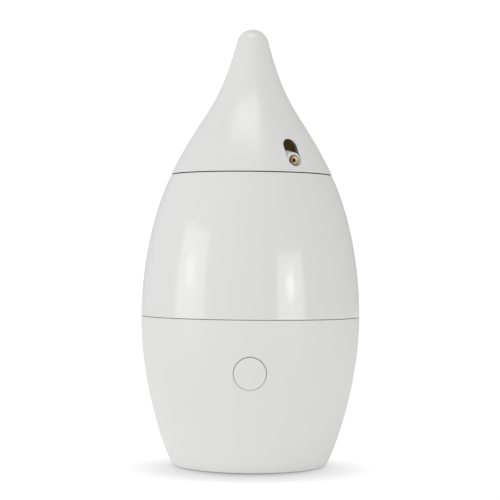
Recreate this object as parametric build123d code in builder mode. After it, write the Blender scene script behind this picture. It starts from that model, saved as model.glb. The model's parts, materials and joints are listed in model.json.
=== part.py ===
from build123d import *
import math
import os

os.makedirs("parts", exist_ok=True)

# Cool mist humidifier: a turned body in three shells (base, water tank, cover) with
# an air pump in the base, a brass spray nozzle behind a port in the cover and a push
# button on the front of the base.
#
# Frame: millimetres, +Z up, origin on the floor at the middle of the base.
# The button faces -Y. A bearing is an angle round the body from the front towards +X.

# ---------------------------------------------------------------- overall form
base_height = 102.0       # floor to the seam between base and tank
tank_height = 97.15       # that seam to the seam under the cover
cover_height = 100.85     # upper seam to the tip
belly_radius = 75.1       # widest radius, at the lower seam
shoulder_radius = 55.5    # outer radius at the upper seam
foot_radius = 53.1        # outer radius of the base's lower edge
foot_lift = 1.0           # lower edge of the base shell above the floor
low_seam = 0.35           # open gap between base and tank
high_seam = 0.7           # open gap between tank and cover
foot_flare = 28.5         # outward lean of the wall at its lower edge, degrees
shoulder_lean = 26.0      # inward lean of the wall at the upper seam, degrees
tip_lean = 14.9           # inward lean of the wall where it meets the tip, degrees
tip_radius = 11.1         # ball radius of the tip
base_low_pull = 16.0      # lengths of the wall curve's handles
base_high_pull = 44.0
tank_low_pull = 39.0
tank_high_pull = 24.0
cover_low_pull = 50.0
cover_high_pull = 52.0
base_wall = 2.6
tank_wall = 3.0
cover_wall = 2.6
edge_softening = 0.3      # rounding of the edges along the seams

base_top = base_height - low_seam / 2
tank_bottom = base_height + low_seam / 2
shoulder_height = base_height + tank_height
tank_top = shoulder_height - high_seam / 2
cover_bottom = shoulder_height + high_seam / 2
full_height = shoulder_height + cover_height
dome_centre = full_height - tip_radius

# ---------------------------------------------------------------- general clearances
body_gap = 0.3            # between pieces of different bodies
seat_gap = 0.1            # between pieces of one body that slide together once
hose_gap = 0.05           # hose bore over a barb
pin_gap = 0.05            # running fit of the pump's arm on its pin
past = 20.0               # extra length of a cut, or of a form that is trimmed later

# ---------------------------------------------------------------- base, lower half
plate_bottom = 1.2        # underside of the bottom plate above the floor
plate_thickness = 2.4
plate_edge_gap = 0.3
foot_pad_radius = 5.5
foot_pad_spacing = 38.0   # distance of the rubber feet from the axis
foot_recess = 1.0         # how deep a foot sits in the plate
bottom_screw_radius = 44.0
bottom_screw_bearings = (60, 120, 240, 300)
post_radius = 3.5
post_height = 20.0
rib_width = 2.4
rib_lift = 1.0            # ribs above the bottom plate
screw_head_radius = 2.6
screw_head_height = 1.2
screw_shank_radius = 1.4
screw_hole_gap = 0.15     # round a screw's shank
pilot_depth = 9.0         # depth of the screw holes in the posts
head_gap = 0.35           # round a screw's head in its counterbore
intake_slot_length = 26.0
intake_slot_width = 2.5
intake_slot_pitch = 4.4
intake_slot_count = 5
intake_y = -18.0
filter_size = (32.0, 26.0, 2.2)

plate_top = plate_bottom + plate_thickness
pilot_radius = screw_shank_radius + screw_hole_gap

# ---------------------------------------------------------------- main board and jack
standoff_height = 6.0
standoff_radius = 2.8
board_size = (40.0, 33.0, 1.6)
board_wall_gap = 6.0      # from the base's lower edge to the board's rear edge
board_hole_inset = 3.6
board_pilot_radius = 1.0
jack_size = (9.4, 14.0, 11.0)
jack_axis_lift = 6.4      # plug axis above the board
jack_bore_radius = 2.75
jack_bore_depth = 9.0
jack_pin_radius = 1.0
jack_pin_length = 8.6
jack_overhang = 5.0       # the socket's block beyond the board's rear edge
jack_nose_radius = 3.9
jack_hole_gap = 0.3
jack_recess = 0.4         # nose behind the outer surface
capacitor_radius = 4.0
capacitor_height = 12.0

board_bottom = plate_top + standoff_height
board_top = board_bottom + board_size[2]
board_rear = foot_radius - board_wall_gap
board_y = board_rear - board_size[1] / 2
jack_height = board_top + jack_axis_lift

# ---------------------------------------------------------------- air pump
pump_plate_z = 12.0       # underside of the pump's frame plate
pump_plate_size = (57.0, 48.0, 2.0)
pump_plate_centre = (-1.5, -19.0)
pump_mount_spots = ((-21.0, -39.0), (20.0, -39.0), (-21.0, 1.0), (20.0, 1.0))
pump_screw_radius = 1.15
grommet_flange_radius = 4.6
grommet_neck_radius = 3.4
grommet_flange = 1.5
pump_axis_z = 25.0        # height of the arm, the magnet and the bellows
core_size = (26.0, 16.0, 12.0)
core_x = 12.0
core_front = -20.0        # y of the pole faces
core_bar = 4.0            # width of the core's outer legs and back
core_middle_leg = 6.0
coil_overhang = 4.0
coil_gap = 0.2
pivot_x = -23.0
pivot_y = -28.0
pivot_radius = 1.0
pivot_length = 19.0
pivot_boss_radius = 3.0
arm_height = 10.0
arm_thickness = 3.0
arm_reach = 40.0          # from the pivot to the arm's far end
magnet_size = (8.0, 3.9, 9.0)
bracket_size = (10.0, 10.0)
bracket_wall = 3.0
valve_x = -11.0
valve_size = (15.0, 12.0, 16.0)
valve_front = -18.0
bellows_radius = 7.5
bellows_folds = 4
bellows_fold_depth = 1.6
bellows_wall = 1.2
bellows_end = 1.4         # thickness of the bellows' closed end
barb_radius = 2.2
barb_bore = 1.2
barb_length = 8.0
hose_wall = 1.0

pump_plate_top = pump_plate_z + pump_plate_size[2]
hose_bore = barb_radius + hose_gap
hose_radius = hose_bore + hose_wall

# ---------------------------------------------------------------- deck under the tank
deck_depth = 7.5          # deck's underside below the lower seam
deck_thickness = 2.4
deck_edge_gap = 0.9
deck_rim_width = 1.6
deck_rim_height = 3.9
deck_screw_inset = 9.1    # from the belly's radius to the deck's screws
deck_screw_bearings = (60, 180, 300)
deck_post_height = 16.0
tank_ring_radius = 60.6   # outer radius of the ring that the tank stands on
tank_ring_width = 2.6
upstand_width = 1.5
upstand_height = 2.1
spigot_radius = 4.8
spigot_rise = 15.1        # above the deck's floor
o_ring_section = 0.58     # radius of the O-rings' section
o_ring_width = 1.5        # width of their grooves

deck_bottom = base_height - deck_depth
deck_top = deck_bottom + deck_thickness
deck_radius = belly_radius - base_wall - deck_edge_gap
deck_screw_radius = belly_radius - deck_screw_inset
spigot_top = deck_top + spigot_rise
spigot_ring_z = spigot_top - 5.0

# ---------------------------------------------------------------- push button
button_radius = 10.6
button_gap = 0.5          # groove between button and shell
button_height = 67.3
button_travel = 1.0
button_depth = 6.3        # from the shell's face to the back of the button's disc
button_wall = 2.0
button_skirt = 3.0        # length of the button's rim behind its disc
guide_setback = 4.8       # front edge of the guide behind the shell's face
guide_depth = 9.5
guide_wall = 2.0
guide_gap = 0.35
guide_floor = 1.5
stem_radius = 2.5
stem_gap = 0.3
stem_head_radius = 3.3
stem_head_length = 1.6
spring_wire = 0.25        # radius of the return spring's wire
spring_radius = 4.2
spring_turns = 4
switch_size = (6.0, 6.0, 3.5)
plunger_radius = 1.7
plunger_stick_out = 1.6
switch_board_size = (24.0, 18.0, 1.2)
ear_offset = 6.9          # guide's screws beyond the button's radius
ear_width = 8.0
ear_thickness = 2.0
switch_post_spacing = 9.0
switch_post_radius = 2.4
plunger_length = 2.8
plunger_gap = 0.1

ear_spacing = button_radius + ear_offset

# ---------------------------------------------------------------- tank inside
floor_rebate = 1.2        # step in the tank's lower edge that holds its floor
floor_lift = 0.8          # tank floor above the tank's lower edge
floor_thickness = 2.6
mouth_radius = 51.3
mouth_depth = 3.6
boss_radius = 8.0
boss_rise = 10.4          # boss above the tank floor's upper side
riser_radius = 4.6
riser_bore = 3.0
float_radius = 9.0
float_height = 12.0
float_travel = 10.0
float_spot = (-32.0, 22.0)
float_stem_radius = 2.5
float_bore_gap = 0.5
magnet_ring = (4.0, 7.0, 3.0)

floor_bottom = tank_bottom + floor_lift
floor_top = floor_bottom + floor_thickness
floor_radius = belly_radius - tank_wall + floor_rebate - seat_gap
boss_top = floor_top + boss_rise
float_bottom = floor_top + 0.5
float_clip_z = float_bottom + float_height + float_travel + 0.5

# ---------------------------------------------------------------- head tray and nozzle
tray_drop = 14.0          # tray floor's underside below the upper seam
tray_floor = 2.0
tray_wall = 2.0
tray_gap = 0.4            # tray in the tank's mouth
socket_radius = 7.5
socket_depth = 14.0
socket_overlap = 12.0     # riser's length inside the socket
gasket_height = high_seam - body_gap
gasket_width = 2.0
cover_post_radius = 3.2
cover_post_spacing = 30.0
cover_post_bearings = (94, 214, 334)
port_bearing = 34.0       # where the port is, towards +X from the front
port_width = 10.8
port_height = 18.7
port_lift = 13.15         # middle of the port above the upper seam
port_lip = 3.6            # depth of the port's inner lip, square to the surface
port_lip_wall = 1.6
nozzle_lift = 8.25        # nozzle's axis above the upper seam
nozzle_setback = 0.5      # nozzle's face behind the cover's outer surface
nozzle_radius = 3.4
nozzle_gap = 0.05
cap_length = 1.3
cap_plug = 2.2            # length of the cap inside the nozzle's body
cap_recess_radius = 2.6
cap_recess_depth = 1.0
orifice_radius = 0.9
jet_setback = 0.6         # end of the liquid jet behind the holder's front
holder_front_radius = 5.25
holder_clearance = 0.4    # between the holder and the port's lip
holder_radius = 7.1
holder_taper_length = 8.7
holder_length = 14.4
holder_web = 9.0          # width of the holder's leg
holder_foot = (20.0, 2.4)
nozzle_gasket_thickness = 0.8
hex_width = 10.0
hex_length = 3.0
block_radius = 4.5
block_length = 9.0
nozzle_barb_length = 7.0
liquid_barb_radius = 2.0
liquid_drop = 11.4        # end of the liquid barb below the nozzle's axis
elbow_radius = 4.5
elbow_reach = 11.0
dip_radius = 3.0
dip_bore = 2.0
dip_boss_radius = 4.4
dip_boss_depth = 8.0
dip_clearance = 6.5       # open end of the dip tube above the tank's floor
strainer_radius = 5.2
strainer_height = 11.0

tray_bottom = shoulder_height - tray_drop
tray_top = tray_bottom + tray_floor
tray_radius = mouth_radius - tray_gap
riser_top = tray_bottom - socket_depth + socket_overlap
nozzle_height = shoulder_height + nozzle_lift
nozzle_rise = nozzle_height - tray_top
port_centre_height = shoulder_height + port_lift

# Alignments for pieces that stand on, or hang from, their location.
standing = (Align.CENTER, Align.CENTER, Align.MIN)
hanging = (Align.CENTER, Align.CENTER, Align.MAX)


# ---------------------------------------------------------------- helpers
def around(radius, bearing, height=0.0):
    """The point at a radius, bearing and height."""
    turn = math.radians(bearing)
    return (radius * math.sin(turn), -radius * math.cos(turn), height)


def facing(radius, bearing, height):
    """A location at that point, turned so that its -Y side faces outwards."""
    return Location(around(radius, bearing, height), (0, 0, bearing))


def wall_points(low, low_tilt, low_pull, high, high_tilt, high_pull, inset):
    """The four points of a wall's curve, from low to high, moved inwards by inset."""

    def moved(point, tilt, pull):
        lean = math.radians(tilt)
        radius = point[0] - inset * math.cos(lean) + pull * math.sin(lean)
        return (radius, point[1] + inset * math.sin(lean) + pull * math.cos(lean))

    return [
        moved(low, low_tilt, 0),
        moved(low, low_tilt, low_pull),
        moved(high, high_tilt, -high_pull),
        moved(high, high_tilt, 0),
    ]


def base_line(inset):
    low = (foot_radius, foot_lift)
    high = (belly_radius, base_top)
    return wall_points(low, foot_flare, base_low_pull, high, 0, base_high_pull, inset)


def tank_line(inset):
    low = (belly_radius, tank_bottom)
    high = (shoulder_radius, tank_top)
    return wall_points(low, 0, tank_low_pull, high, -shoulder_lean, tank_high_pull, inset)


def cover_line(inset):
    lean = math.radians(tip_lean)
    low = (shoulder_radius, cover_bottom)
    high = (tip_radius * math.cos(lean), dome_centre + tip_radius * math.sin(lean))
    return wall_points(
        low, -shoulder_lean, cover_low_pull, high, -tip_lean, cover_high_pull, inset
    )


def radius_at(line, height):
    """The radius of a wall's curve at a height, found by halving."""
    low, high = 0.0, 1.0
    for _ in range(40):
        t = (low + high) / 2
        weights = ((1 - t) ** 3, 3 * t * (1 - t) ** 2, 3 * t * t * (1 - t), t**3)
        reached = sum(w * point[1] for w, point in zip(weights, line))
        low, high = (t, high) if reached < height else (low, t)
    return sum(w * point[0] for w, point in zip(weights, line))


def body_form(inset):
    """A solid of the whole body's outer shape, its surface moved inwards by inset."""
    low, middle, high = base_line(inset), tank_line(inset), cover_line(inset)
    with BuildPart() as form:
        with BuildSketch(Plane.XZ):
            with BuildLine():
                Bezier(*low)
                Line(low[-1], middle[0])
                Bezier(*middle)
                Line(middle[-1], high[0])
                Bezier(*high)
                CenterArc((0, dome_centre), tip_radius - inset, tip_lean, 90 - tip_lean)
                Polyline((0, full_height - inset), (0, low[0][1]), low[0])
            make_face()
        revolve(axis=Axis.Z)
    return form.part


def tube(outer, inner, height, align=standing):
    """A ring added at the current locations."""
    Cylinder(outer, height, align=align)
    Cylinder(inner, height, align=align, mode=Mode.SUBTRACT)


def pan_screw(shank_length, head_radius=screw_head_radius, shank_radius=screw_shank_radius):
    """A cross-head screw, its head standing on z = 0 and its shank below."""
    with BuildPart() as screw:
        Cylinder(head_radius, screw_head_height, align=standing)
        fillet(screw.edges().sort_by(Axis.Z)[-1], 0.4)
        Cylinder(shank_radius, shank_length, align=hanging)
        with Locations((0, 0, screw_head_height)):
            Box(2.6, 0.7, 1.4, mode=Mode.SUBTRACT)
            Box(0.7, 2.6, 1.4, mode=Mode.SUBTRACT)
    return screw.part


def torus_ring(radius, height):
    """An O-ring lying round the axis at a height."""
    with BuildPart() as ring:
        with Locations((0, 0, height)):
            Torus(radius, o_ring_section)
    return ring


def hose(outer, inner, path):
    """A hose along a path that starts straight up."""
    with BuildPart() as run:
        with BuildSketch(Plane(origin=path @ 0, z_dir=path % 0)):
            Circle(outer)
            Circle(inner, mode=Mode.SUBTRACT)
        sweep(path=path)
    return run


def bent_path(*points, radius):
    with BuildLine() as route:
        FilletPolyline(*points, radius=radius)
    return route.wire()


# Depths of the button's pieces, as distances in front of the axis.
button_face = radius_at(base_line(0), button_height)
cap_back = button_face - button_depth
guide_front = button_face - guide_setback
guide_back = guide_front - guide_depth
stem_end = guide_back - body_gap - stem_head_length
switch_front = stem_end - seat_gap - plunger_stick_out
switch_board_front = switch_front - switch_size[2]
ear_spots = [(0, button_height - ear_spacing), (0, button_height + ear_spacing)]

# ================================================================ base
# Posts and ribs inside the base shell, cut to the wall they grow from.
with BuildPart() as base_posts:
    for bearing in bottom_screw_bearings:
        with Locations(facing(bottom_screw_radius, bearing, plate_top)):
            Cylinder(post_radius, post_height, align=standing)
        with Locations(facing(bottom_screw_radius, bearing, plate_top + rib_lift)):
            Box(rib_width, past, post_height - rib_lift, align=(Align.CENTER, Align.MAX, Align.MIN))
    for bearing in deck_screw_bearings:
        with Locations(facing(deck_screw_radius, bearing, deck_bottom)):
            Cylinder(post_radius, deck_post_height, align=hanging)
            Box(rib_width, past, deck_post_height, align=(Align.CENTER, Align.MAX, Align.MAX))
    with BuildSketch(Plane.XZ.offset(guide_back + ear_thickness)):
        with Locations(*ear_spots):
            Circle(post_radius)
    extrude(amount=past)
    add(body_form(base_wall / 2), mode=Mode.INTERSECT)

with BuildPart() as base_shell:
    outer, inner = base_line(0), base_line(base_wall)
    with BuildSketch(Plane.XZ):
        with BuildLine():
            Bezier(*outer)
            Line(outer[-1], inner[-1])
            Bezier(*inner)
            Polyline(inner[0], (inner[0][0], foot_lift), outer[0])
        make_face()
    revolve(axis=Axis.Z)
    rims = base_shell.edges().filter_by(GeomType.CIRCLE)
    fillet(rims.group_by(Axis.Z)[-1].sort_by(SortBy.RADIUS)[-1], edge_softening)
    add(base_posts.part)
    with BuildSketch(Plane.XZ.offset(cap_back - button_skirt)):
        with Locations((0, button_height)):
            Circle(button_radius + button_gap)
    extrude(amount=past, mode=Mode.SUBTRACT)
    for bearing in bottom_screw_bearings:
        with Locations(around(bottom_screw_radius, bearing, plate_top)):
            Cylinder(pilot_radius, pilot_depth, align=standing, mode=Mode.SUBTRACT)
    for bearing in deck_screw_bearings:
        with Locations(around(deck_screw_radius, bearing, deck_bottom)):
            Cylinder(pilot_radius, pilot_depth, align=hanging, mode=Mode.SUBTRACT)
    with BuildSketch(Plane.XZ.offset(guide_back)):
        with Locations(*ear_spots):
            Circle(pilot_radius)
    extrude(amount=pilot_depth, mode=Mode.SUBTRACT)
    with BuildSketch(Plane.XZ.offset(-board_rear)):
        with Locations((0, jack_height)):
            Circle(jack_nose_radius + jack_hole_gap)
    extrude(amount=-past, mode=Mode.SUBTRACT)

plate_radius = base_line(base_wall)[0][0] - plate_edge_gap
foot_spots = [around(foot_pad_spacing, bearing, 0) for bearing in (0, 90, 180, 270)]
bottom_screw_spots = [
    around(bottom_screw_radius, bearing, plate_bottom) for bearing in bottom_screw_bearings
]
board_hole_x = board_size[0] / 2 - board_hole_inset
board_hole_y = board_size[1] / 2 - board_hole_inset
board_spots = [
    (side * board_hole_x, board_y + end * board_hole_y) for side in (-1, 1) for end in (-1, 1)
]
counterbore_depth = screw_head_height + seat_gap

with BuildPart() as bottom_plate:
    with Locations((0, 0, plate_bottom)):
        Cylinder(plate_radius, plate_thickness, align=standing)
    with Locations(*[(x, y, plate_top) for x, y in board_spots]):
        Cylinder(standoff_radius, standoff_height, align=standing)
    with Locations(*[(x, y, plate_top) for x, y in pump_mount_spots]):
        Cylinder(post_radius, pump_plate_z - grommet_flange - plate_top, align=standing)
    with Locations(*[(x, y, board_bottom) for x, y in board_spots]):
        Cylinder(board_pilot_radius, standoff_height - 1.0, align=hanging, mode=Mode.SUBTRACT)
    with Locations(*[(x, y, pump_plate_z - grommet_flange) for x, y in pump_mount_spots]):
        Cylinder(pump_screw_radius + 0.05, 6, align=hanging, mode=Mode.SUBTRACT)
    with Locations(*[(x, y, 0) for x, y, _ in foot_spots]):
        Cylinder(
            foot_pad_radius + seat_gap,
            plate_bottom + foot_recess,
            align=standing,
            mode=Mode.SUBTRACT,
        )
    with Locations(*bottom_screw_spots):
        Cylinder(pilot_radius, 10, mode=Mode.SUBTRACT)
        Cylinder(
            screw_head_radius + head_gap, counterbore_depth, align=standing, mode=Mode.SUBTRACT
        )
    with BuildSketch(Plane.XY.offset(plate_bottom)):
        with Locations((0, intake_y)):
            with GridLocations(0, intake_slot_pitch, 1, intake_slot_count):
                SlotOverall(intake_slot_length, intake_slot_width)
    extrude(amount=plate_thickness, mode=Mode.SUBTRACT)

with BuildPart() as rubber_feet:
    with Locations(*foot_spots):
        Cylinder(foot_pad_radius, plate_bottom + foot_recess, align=standing)
    fillet(rubber_feet.edges().group_by(Axis.Z)[0], 0.5)

with BuildPart() as bottom_screws:
    head_base = plate_bottom + counterbore_depth
    with Locations(*[Location((x, y, head_base), (180, 0, 0)) for x, y, _ in bottom_screw_spots]):
        add(pan_screw(9.0))

with BuildPart() as intake_filter:
    with Locations((0, intake_y, plate_top)):
        Box(*filter_size, align=standing)

# ---------------------------------------------------------------- main board
with BuildPart() as main_board:
    with Locations((0, board_y, board_bottom)):
        Box(*board_size, align=standing)
    with Locations(*[(x, y, board_bottom) for x, y in board_spots]):
        Cylinder(board_pilot_radius + 2 * seat_gap, 6, mode=Mode.SUBTRACT)

with BuildPart() as board_screws:
    with Locations(*[(x, y, board_top) for x, y in board_spots]):
        add(pan_screw(5.5, head_radius=2.0, shank_radius=board_pilot_radius - 0.05))

with BuildPart() as capacitors:
    with Locations((-9, board_y - 9, board_top), (0, board_y - 9, board_top)):
        Cylinder(capacitor_radius, capacitor_height, align=standing)
    fillet(capacitors.edges().group_by(Axis.Z)[-1], 0.6)

with BuildPart() as driver_chip:
    with Locations((-11, board_y + 4, board_top)):
        Box(9, 7, 1.8, align=standing)

connector_spots = [(10, board_y + shift) for shift in (-9, -2, 5)]
with BuildPart() as lead_connectors:
    with Locations(*[(x, y, board_top) for x, y in connector_spots]):
        Box(8, 5.5, 5.5, align=standing)

# Power socket: a block on the board with a round nose that fills the hole in the shell.
jack_front = board_rear + jack_overhang
with BuildPart() as dc_jack:
    with Locations((0, jack_front, board_top)):
        Box(*jack_size, align=(Align.CENTER, Align.MAX, Align.MIN))
    with BuildSketch(Plane.XZ.offset(-jack_front)):
        with Locations((0, jack_height)):
            Circle(jack_nose_radius)
    extrude(amount=-past)
    add(body_form(jack_recess), mode=Mode.INTERSECT)
    jack_mouth = radius_at(base_line(jack_recess), jack_height)
    with BuildSketch(Plane.XZ.offset(jack_bore_depth - jack_mouth)):
        with Locations((0, jack_height)):
            Circle(jack_bore_radius)
    extrude(amount=-past, mode=Mode.SUBTRACT)

with BuildPart() as jack_pin:
    with BuildSketch(Plane.XZ.offset(jack_bore_depth - jack_mouth)):
        with Locations((0, jack_height)):
            Circle(jack_pin_radius)
    extrude(amount=-jack_pin_length)
    chamfer(jack_pin.edges().group_by(Axis.Y)[-1], 0.3)

# ---------------------------------------------------------------- air pump
with BuildPart() as pump_frame:
    with Locations((*pump_plate_centre, pump_plate_z)):
        Box(*pump_plate_size, align=standing)
    fillet(pump_frame.edges().filter_by(Axis.Z), 4)
    with Locations(*[(x, y, pump_plate_z) for x, y in pump_mount_spots]):
        Cylinder(grommet_neck_radius + seat_gap, 12, mode=Mode.SUBTRACT)
    pad_height = pump_axis_z - core_size[2] / 2 - pump_plate_top
    leg_shift = (core_size[0] - core_bar) / 2
    pad_spots = [(core_x + side * leg_shift, core_front, pump_plate_top) for side in (-1, 1)]
    with Locations(*pad_spots):
        Box(core_bar, core_size[1], pad_height, align=(Align.CENTER, Align.MIN, Align.MIN))
    with Locations((valve_x, valve_front + 1, pump_plate_top)):
        Box(
            valve_size[0] - 2,
            valve_size[1] - 2,
            pump_axis_z - valve_size[2] / 2 - pump_plate_top,
            align=(Align.CENTER, Align.MIN, Align.MIN),
        )
    bracket_top = pump_axis_z + arm_height / 2 + bracket_wall + body_gap
    with Locations((pivot_x - bracket_wall, pivot_y, pump_plate_top)):
        Box(
            bracket_size[0] + bracket_wall - 1,
            bracket_size[1],
            bracket_top - pump_plate_top,
            align=standing,
        )
    with Locations((pivot_x - pivot_boss_radius - body_gap, pivot_y, pump_axis_z)):
        Box(
            20,
            bracket_size[1] + 1,
            arm_height + 2 * body_gap,
            align=(Align.MIN, Align.CENTER, Align.CENTER),
            mode=Mode.SUBTRACT,
        )
    with Locations((pivot_x, pivot_y, bracket_top)):
        Cylinder(pivot_radius, pivot_length, align=hanging, mode=Mode.SUBTRACT)

with BuildPart() as pump_grommets:
    grommet_bottom = pump_plate_z - grommet_flange
    grommet_height = pump_plate_size[2] + 2 * grommet_flange
    for x, y in pump_mount_spots:
        with Locations((x, y, grommet_bottom)):
            Cylinder(grommet_flange_radius, grommet_flange, align=standing)
            Cylinder(grommet_neck_radius, grommet_height, align=standing)
        with Locations((x, y, pump_plate_top)):
            Cylinder(grommet_flange_radius, grommet_flange, align=standing)
        with Locations((x, y, grommet_bottom)):
            Cylinder(screw_shank_radius + seat_gap, 30, mode=Mode.SUBTRACT)

with BuildPart() as pump_screws:
    with Locations(*[(x, y, pump_plate_top + grommet_flange) for x, y in pump_mount_spots]):
        add(pan_screw(9.0, head_radius=3.2, shank_radius=pump_screw_radius))

with BuildPart() as pivot_pin:
    with Locations((pivot_x, pivot_y, bracket_top)):
        Cylinder(pivot_radius, pivot_length, align=hanging)

core_low = pump_axis_z - core_size[2] / 2
window = (core_size[0] - 2 * core_bar - core_middle_leg) / 2
window_shift = (core_middle_leg + window) / 2
with BuildPart() as pump_core:
    with BuildSketch(Plane.XY.offset(core_low)):
        with Locations((core_x, core_front)):
            Rectangle(core_size[0], core_size[1], align=(Align.CENTER, Align.MIN))
        with Locations((core_x - window_shift, core_front), (core_x + window_shift, core_front)):
            Rectangle(
                window,
                core_size[1] - core_bar,
                align=(Align.CENTER, Align.MIN),
                mode=Mode.SUBTRACT,
            )
    extrude(amount=core_size[2])

coil_depth = core_size[1] - core_bar - 2.5
with BuildPart() as pump_coil:
    with Locations((core_x, core_front + 1.5, pump_axis_z)):
        Box(
            core_middle_leg + 2 * window - 2 * coil_gap,
            coil_depth,
            core_size[2] + 2 * coil_overhang,
            align=(Align.CENTER, Align.MIN, Align.CENTER),
        )
    fillet(pump_coil.edges().filter_by(Axis.Y), 3)
    with Locations((core_x, core_front, pump_axis_z)):
        Box(
            core_middle_leg + 2 * coil_gap,
            40,
            core_size[2] + 2 * coil_gap,
            mode=Mode.SUBTRACT,
        )

with BuildPart() as valve_block:
    with Locations((valve_x, valve_front, pump_axis_z)):
        Box(*valve_size, align=(Align.CENTER, Align.MIN, Align.CENTER))
    fillet(valve_block.edges().filter_by(Axis.Z), 1.5)
    valve_top = pump_axis_z + valve_size[2] / 2
    with Locations((valve_x, valve_front + valve_size[1] / 2, valve_top)):
        Cylinder(barb_radius, barb_length, align=standing)
        Cylinder(barb_bore, 24, mode=Mode.SUBTRACT)
    with BuildSketch(Plane.XZ.offset(-valve_front)):
        with Locations((valve_x, pump_axis_z)):
            Circle(3.0)
    extrude(amount=-4, mode=Mode.SUBTRACT)

bellows_back = -valve_front + seat_gap
bellows_front = -pivot_y - arm_thickness / 2 - seat_gap
with BuildPart() as bellows:
    fold = (bellows_front - bellows_back) / bellows_folds
    with BuildSketch(Plane.XY.offset(pump_axis_z)):
        with BuildLine():
            zigzag = []
            valley = bellows_radius - bellows_fold_depth
            for count in range(bellows_folds):
                start = -bellows_back - count * fold
                zigzag += [(valley, start), (bellows_radius, start - fold / 2)]
            rear, front = -bellows_back, -bellows_front
            zigzag.append((valley, front))
            inside = valley - bellows_wall
            cup_end = front + bellows_end
            closing = [(0, front), (0, cup_end), (inside, cup_end), (inside, rear)]
            Polyline(*[(valve_x + r, y) for r, y in zigzag + closing], close=True)
        make_face()
    revolve(axis=Axis((valve_x, 0, pump_axis_z), (0, 1, 0)))

with BuildPart() as swing_arm:
    with Locations((pivot_x, pivot_y, pump_axis_z)):
        Cylinder(pivot_boss_radius, arm_height)
        Box(arm_reach, arm_thickness, arm_height, align=(Align.MIN, Align.CENTER, Align.CENTER))
        Cylinder(pivot_radius + pin_gap, 40, mode=Mode.SUBTRACT)

with BuildPart() as arm_magnet:
    with Locations((core_x, pivot_y + arm_thickness / 2, pump_axis_z)):
        Box(*magnet_size, align=(Align.CENTER, Align.MIN, Align.CENTER))

# ---------------------------------------------------------------- deck
upstand_inner = tank_ring_radius + 2 * body_gap
spigot_groove_radius = spigot_radius + body_gap - 0.07 - 2 * o_ring_section
with BuildPart() as base_deck:
    with Locations((0, 0, deck_bottom)):
        Cylinder(deck_radius, deck_thickness, align=standing)
        Cylinder(barb_radius, barb_length, align=hanging)
    with Locations((0, 0, deck_top)):
        tube(deck_radius, deck_radius - deck_rim_width, deck_rim_height)
        tube(upstand_inner + upstand_width, upstand_inner, upstand_height)
        Cylinder(spigot_radius, spigot_rise, align=standing)
    with BuildSketch(Plane.XY.offset(spigot_ring_z - o_ring_width / 2)):
        Circle(spigot_radius + 1)
        Circle(spigot_groove_radius, mode=Mode.SUBTRACT)
    extrude(amount=o_ring_width, mode=Mode.SUBTRACT)
    with Locations((0, 0, deck_bottom)):
        Cylinder(barb_bore, 4 * past, mode=Mode.SUBTRACT)
    with Locations(*[around(deck_screw_radius, b, deck_bottom) for b in deck_screw_bearings]):
        Cylinder(pilot_radius, 12, mode=Mode.SUBTRACT)

with BuildPart() as deck_screws:
    with Locations(*[around(deck_screw_radius, b, deck_top) for b in deck_screw_bearings]):
        add(pan_screw(9.0))

spigot_o_ring = torus_ring(spigot_radius + body_gap - 0.05 - o_ring_section, spigot_ring_z)

reed_spot = (float_spot[0], float_spot[1], deck_bottom)
with BuildPart() as reed_switch:
    with Locations(reed_spot):
        Box(16, 5, 3, align=hanging)
    fillet(reed_switch.edges().filter_by(Axis.X), 1)

air_path = bent_path(
    (valve_x, valve_front + valve_size[1] / 2, valve_top + 1),
    (valve_x, valve_front + valve_size[1] / 2, valve_top + 17),
    (0, 0, deck_bottom - 17),
    (0, 0, deck_bottom - 1),
    radius=25,
)
pump_hose = hose(hose_radius, hose_bore, air_path)

# ================================================================ push button
with BuildPart() as button_cap:
    with BuildSketch(Plane.XZ.offset(cap_back - button_skirt)):
        with Locations((0, button_height)):
            Circle(button_radius)
    extrude(amount=past)
    add(body_form(0), mode=Mode.INTERSECT)
    fillet(button_cap.edges().group_by(Axis.Y)[0], edge_softening)
    with BuildSketch(Plane.XZ.offset(cap_back - button_skirt)):
        with Locations((0, button_height)):
            Circle(button_radius - button_wall)
    extrude(amount=button_skirt, mode=Mode.SUBTRACT)
    with BuildSketch(Plane.XZ.offset(stem_end)):
        with Locations((0, button_height)):
            Circle(stem_radius)
    extrude(amount=cap_back - stem_end)
    with BuildSketch(Plane.XZ.offset(stem_end)):
        with Locations((0, button_height)):
            Circle(stem_head_radius)
    extrude(amount=stem_head_length)

guide_radius = button_radius + guide_gap
with BuildPart() as button_guide:
    with BuildSketch(Plane.XZ.offset(guide_back)):
        with Locations((0, button_height)):
            Rectangle(ear_width, 2 * ear_spacing + ear_width)
    extrude(amount=ear_thickness)
    with BuildSketch(Plane.XZ.offset(guide_back)):
        with Locations((0, button_height)):
            Circle(guide_radius + guide_wall)
    extrude(amount=guide_depth)
    with BuildSketch(Plane.XZ.offset(guide_back + guide_floor)):
        with Locations((0, button_height)):
            Circle(guide_radius)
    extrude(amount=guide_depth, mode=Mode.SUBTRACT)
    add(body_form(base_wall + seat_gap), mode=Mode.INTERSECT)
    with BuildSketch(Plane.XZ.offset(guide_back)):
        with Locations(
            (-switch_post_spacing, button_height), (switch_post_spacing, button_height)
        ):
            Circle(switch_post_radius)
    extrude(amount=switch_board_front - guide_back)
    with BuildSketch(Plane.XZ.offset(guide_back)):
        with Locations((0, button_height)):
            Circle(stem_radius + stem_gap)
        with Locations(*ear_spots):
            Circle(pilot_radius)
    extrude(amount=guide_depth, mode=Mode.SUBTRACT)
    with BuildSketch(Plane.XZ.offset(switch_board_front)):
        with Locations(
            (-switch_post_spacing, button_height), (switch_post_spacing, button_height)
        ):
            Circle(1.1)
    extrude(amount=6, mode=Mode.SUBTRACT)

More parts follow.
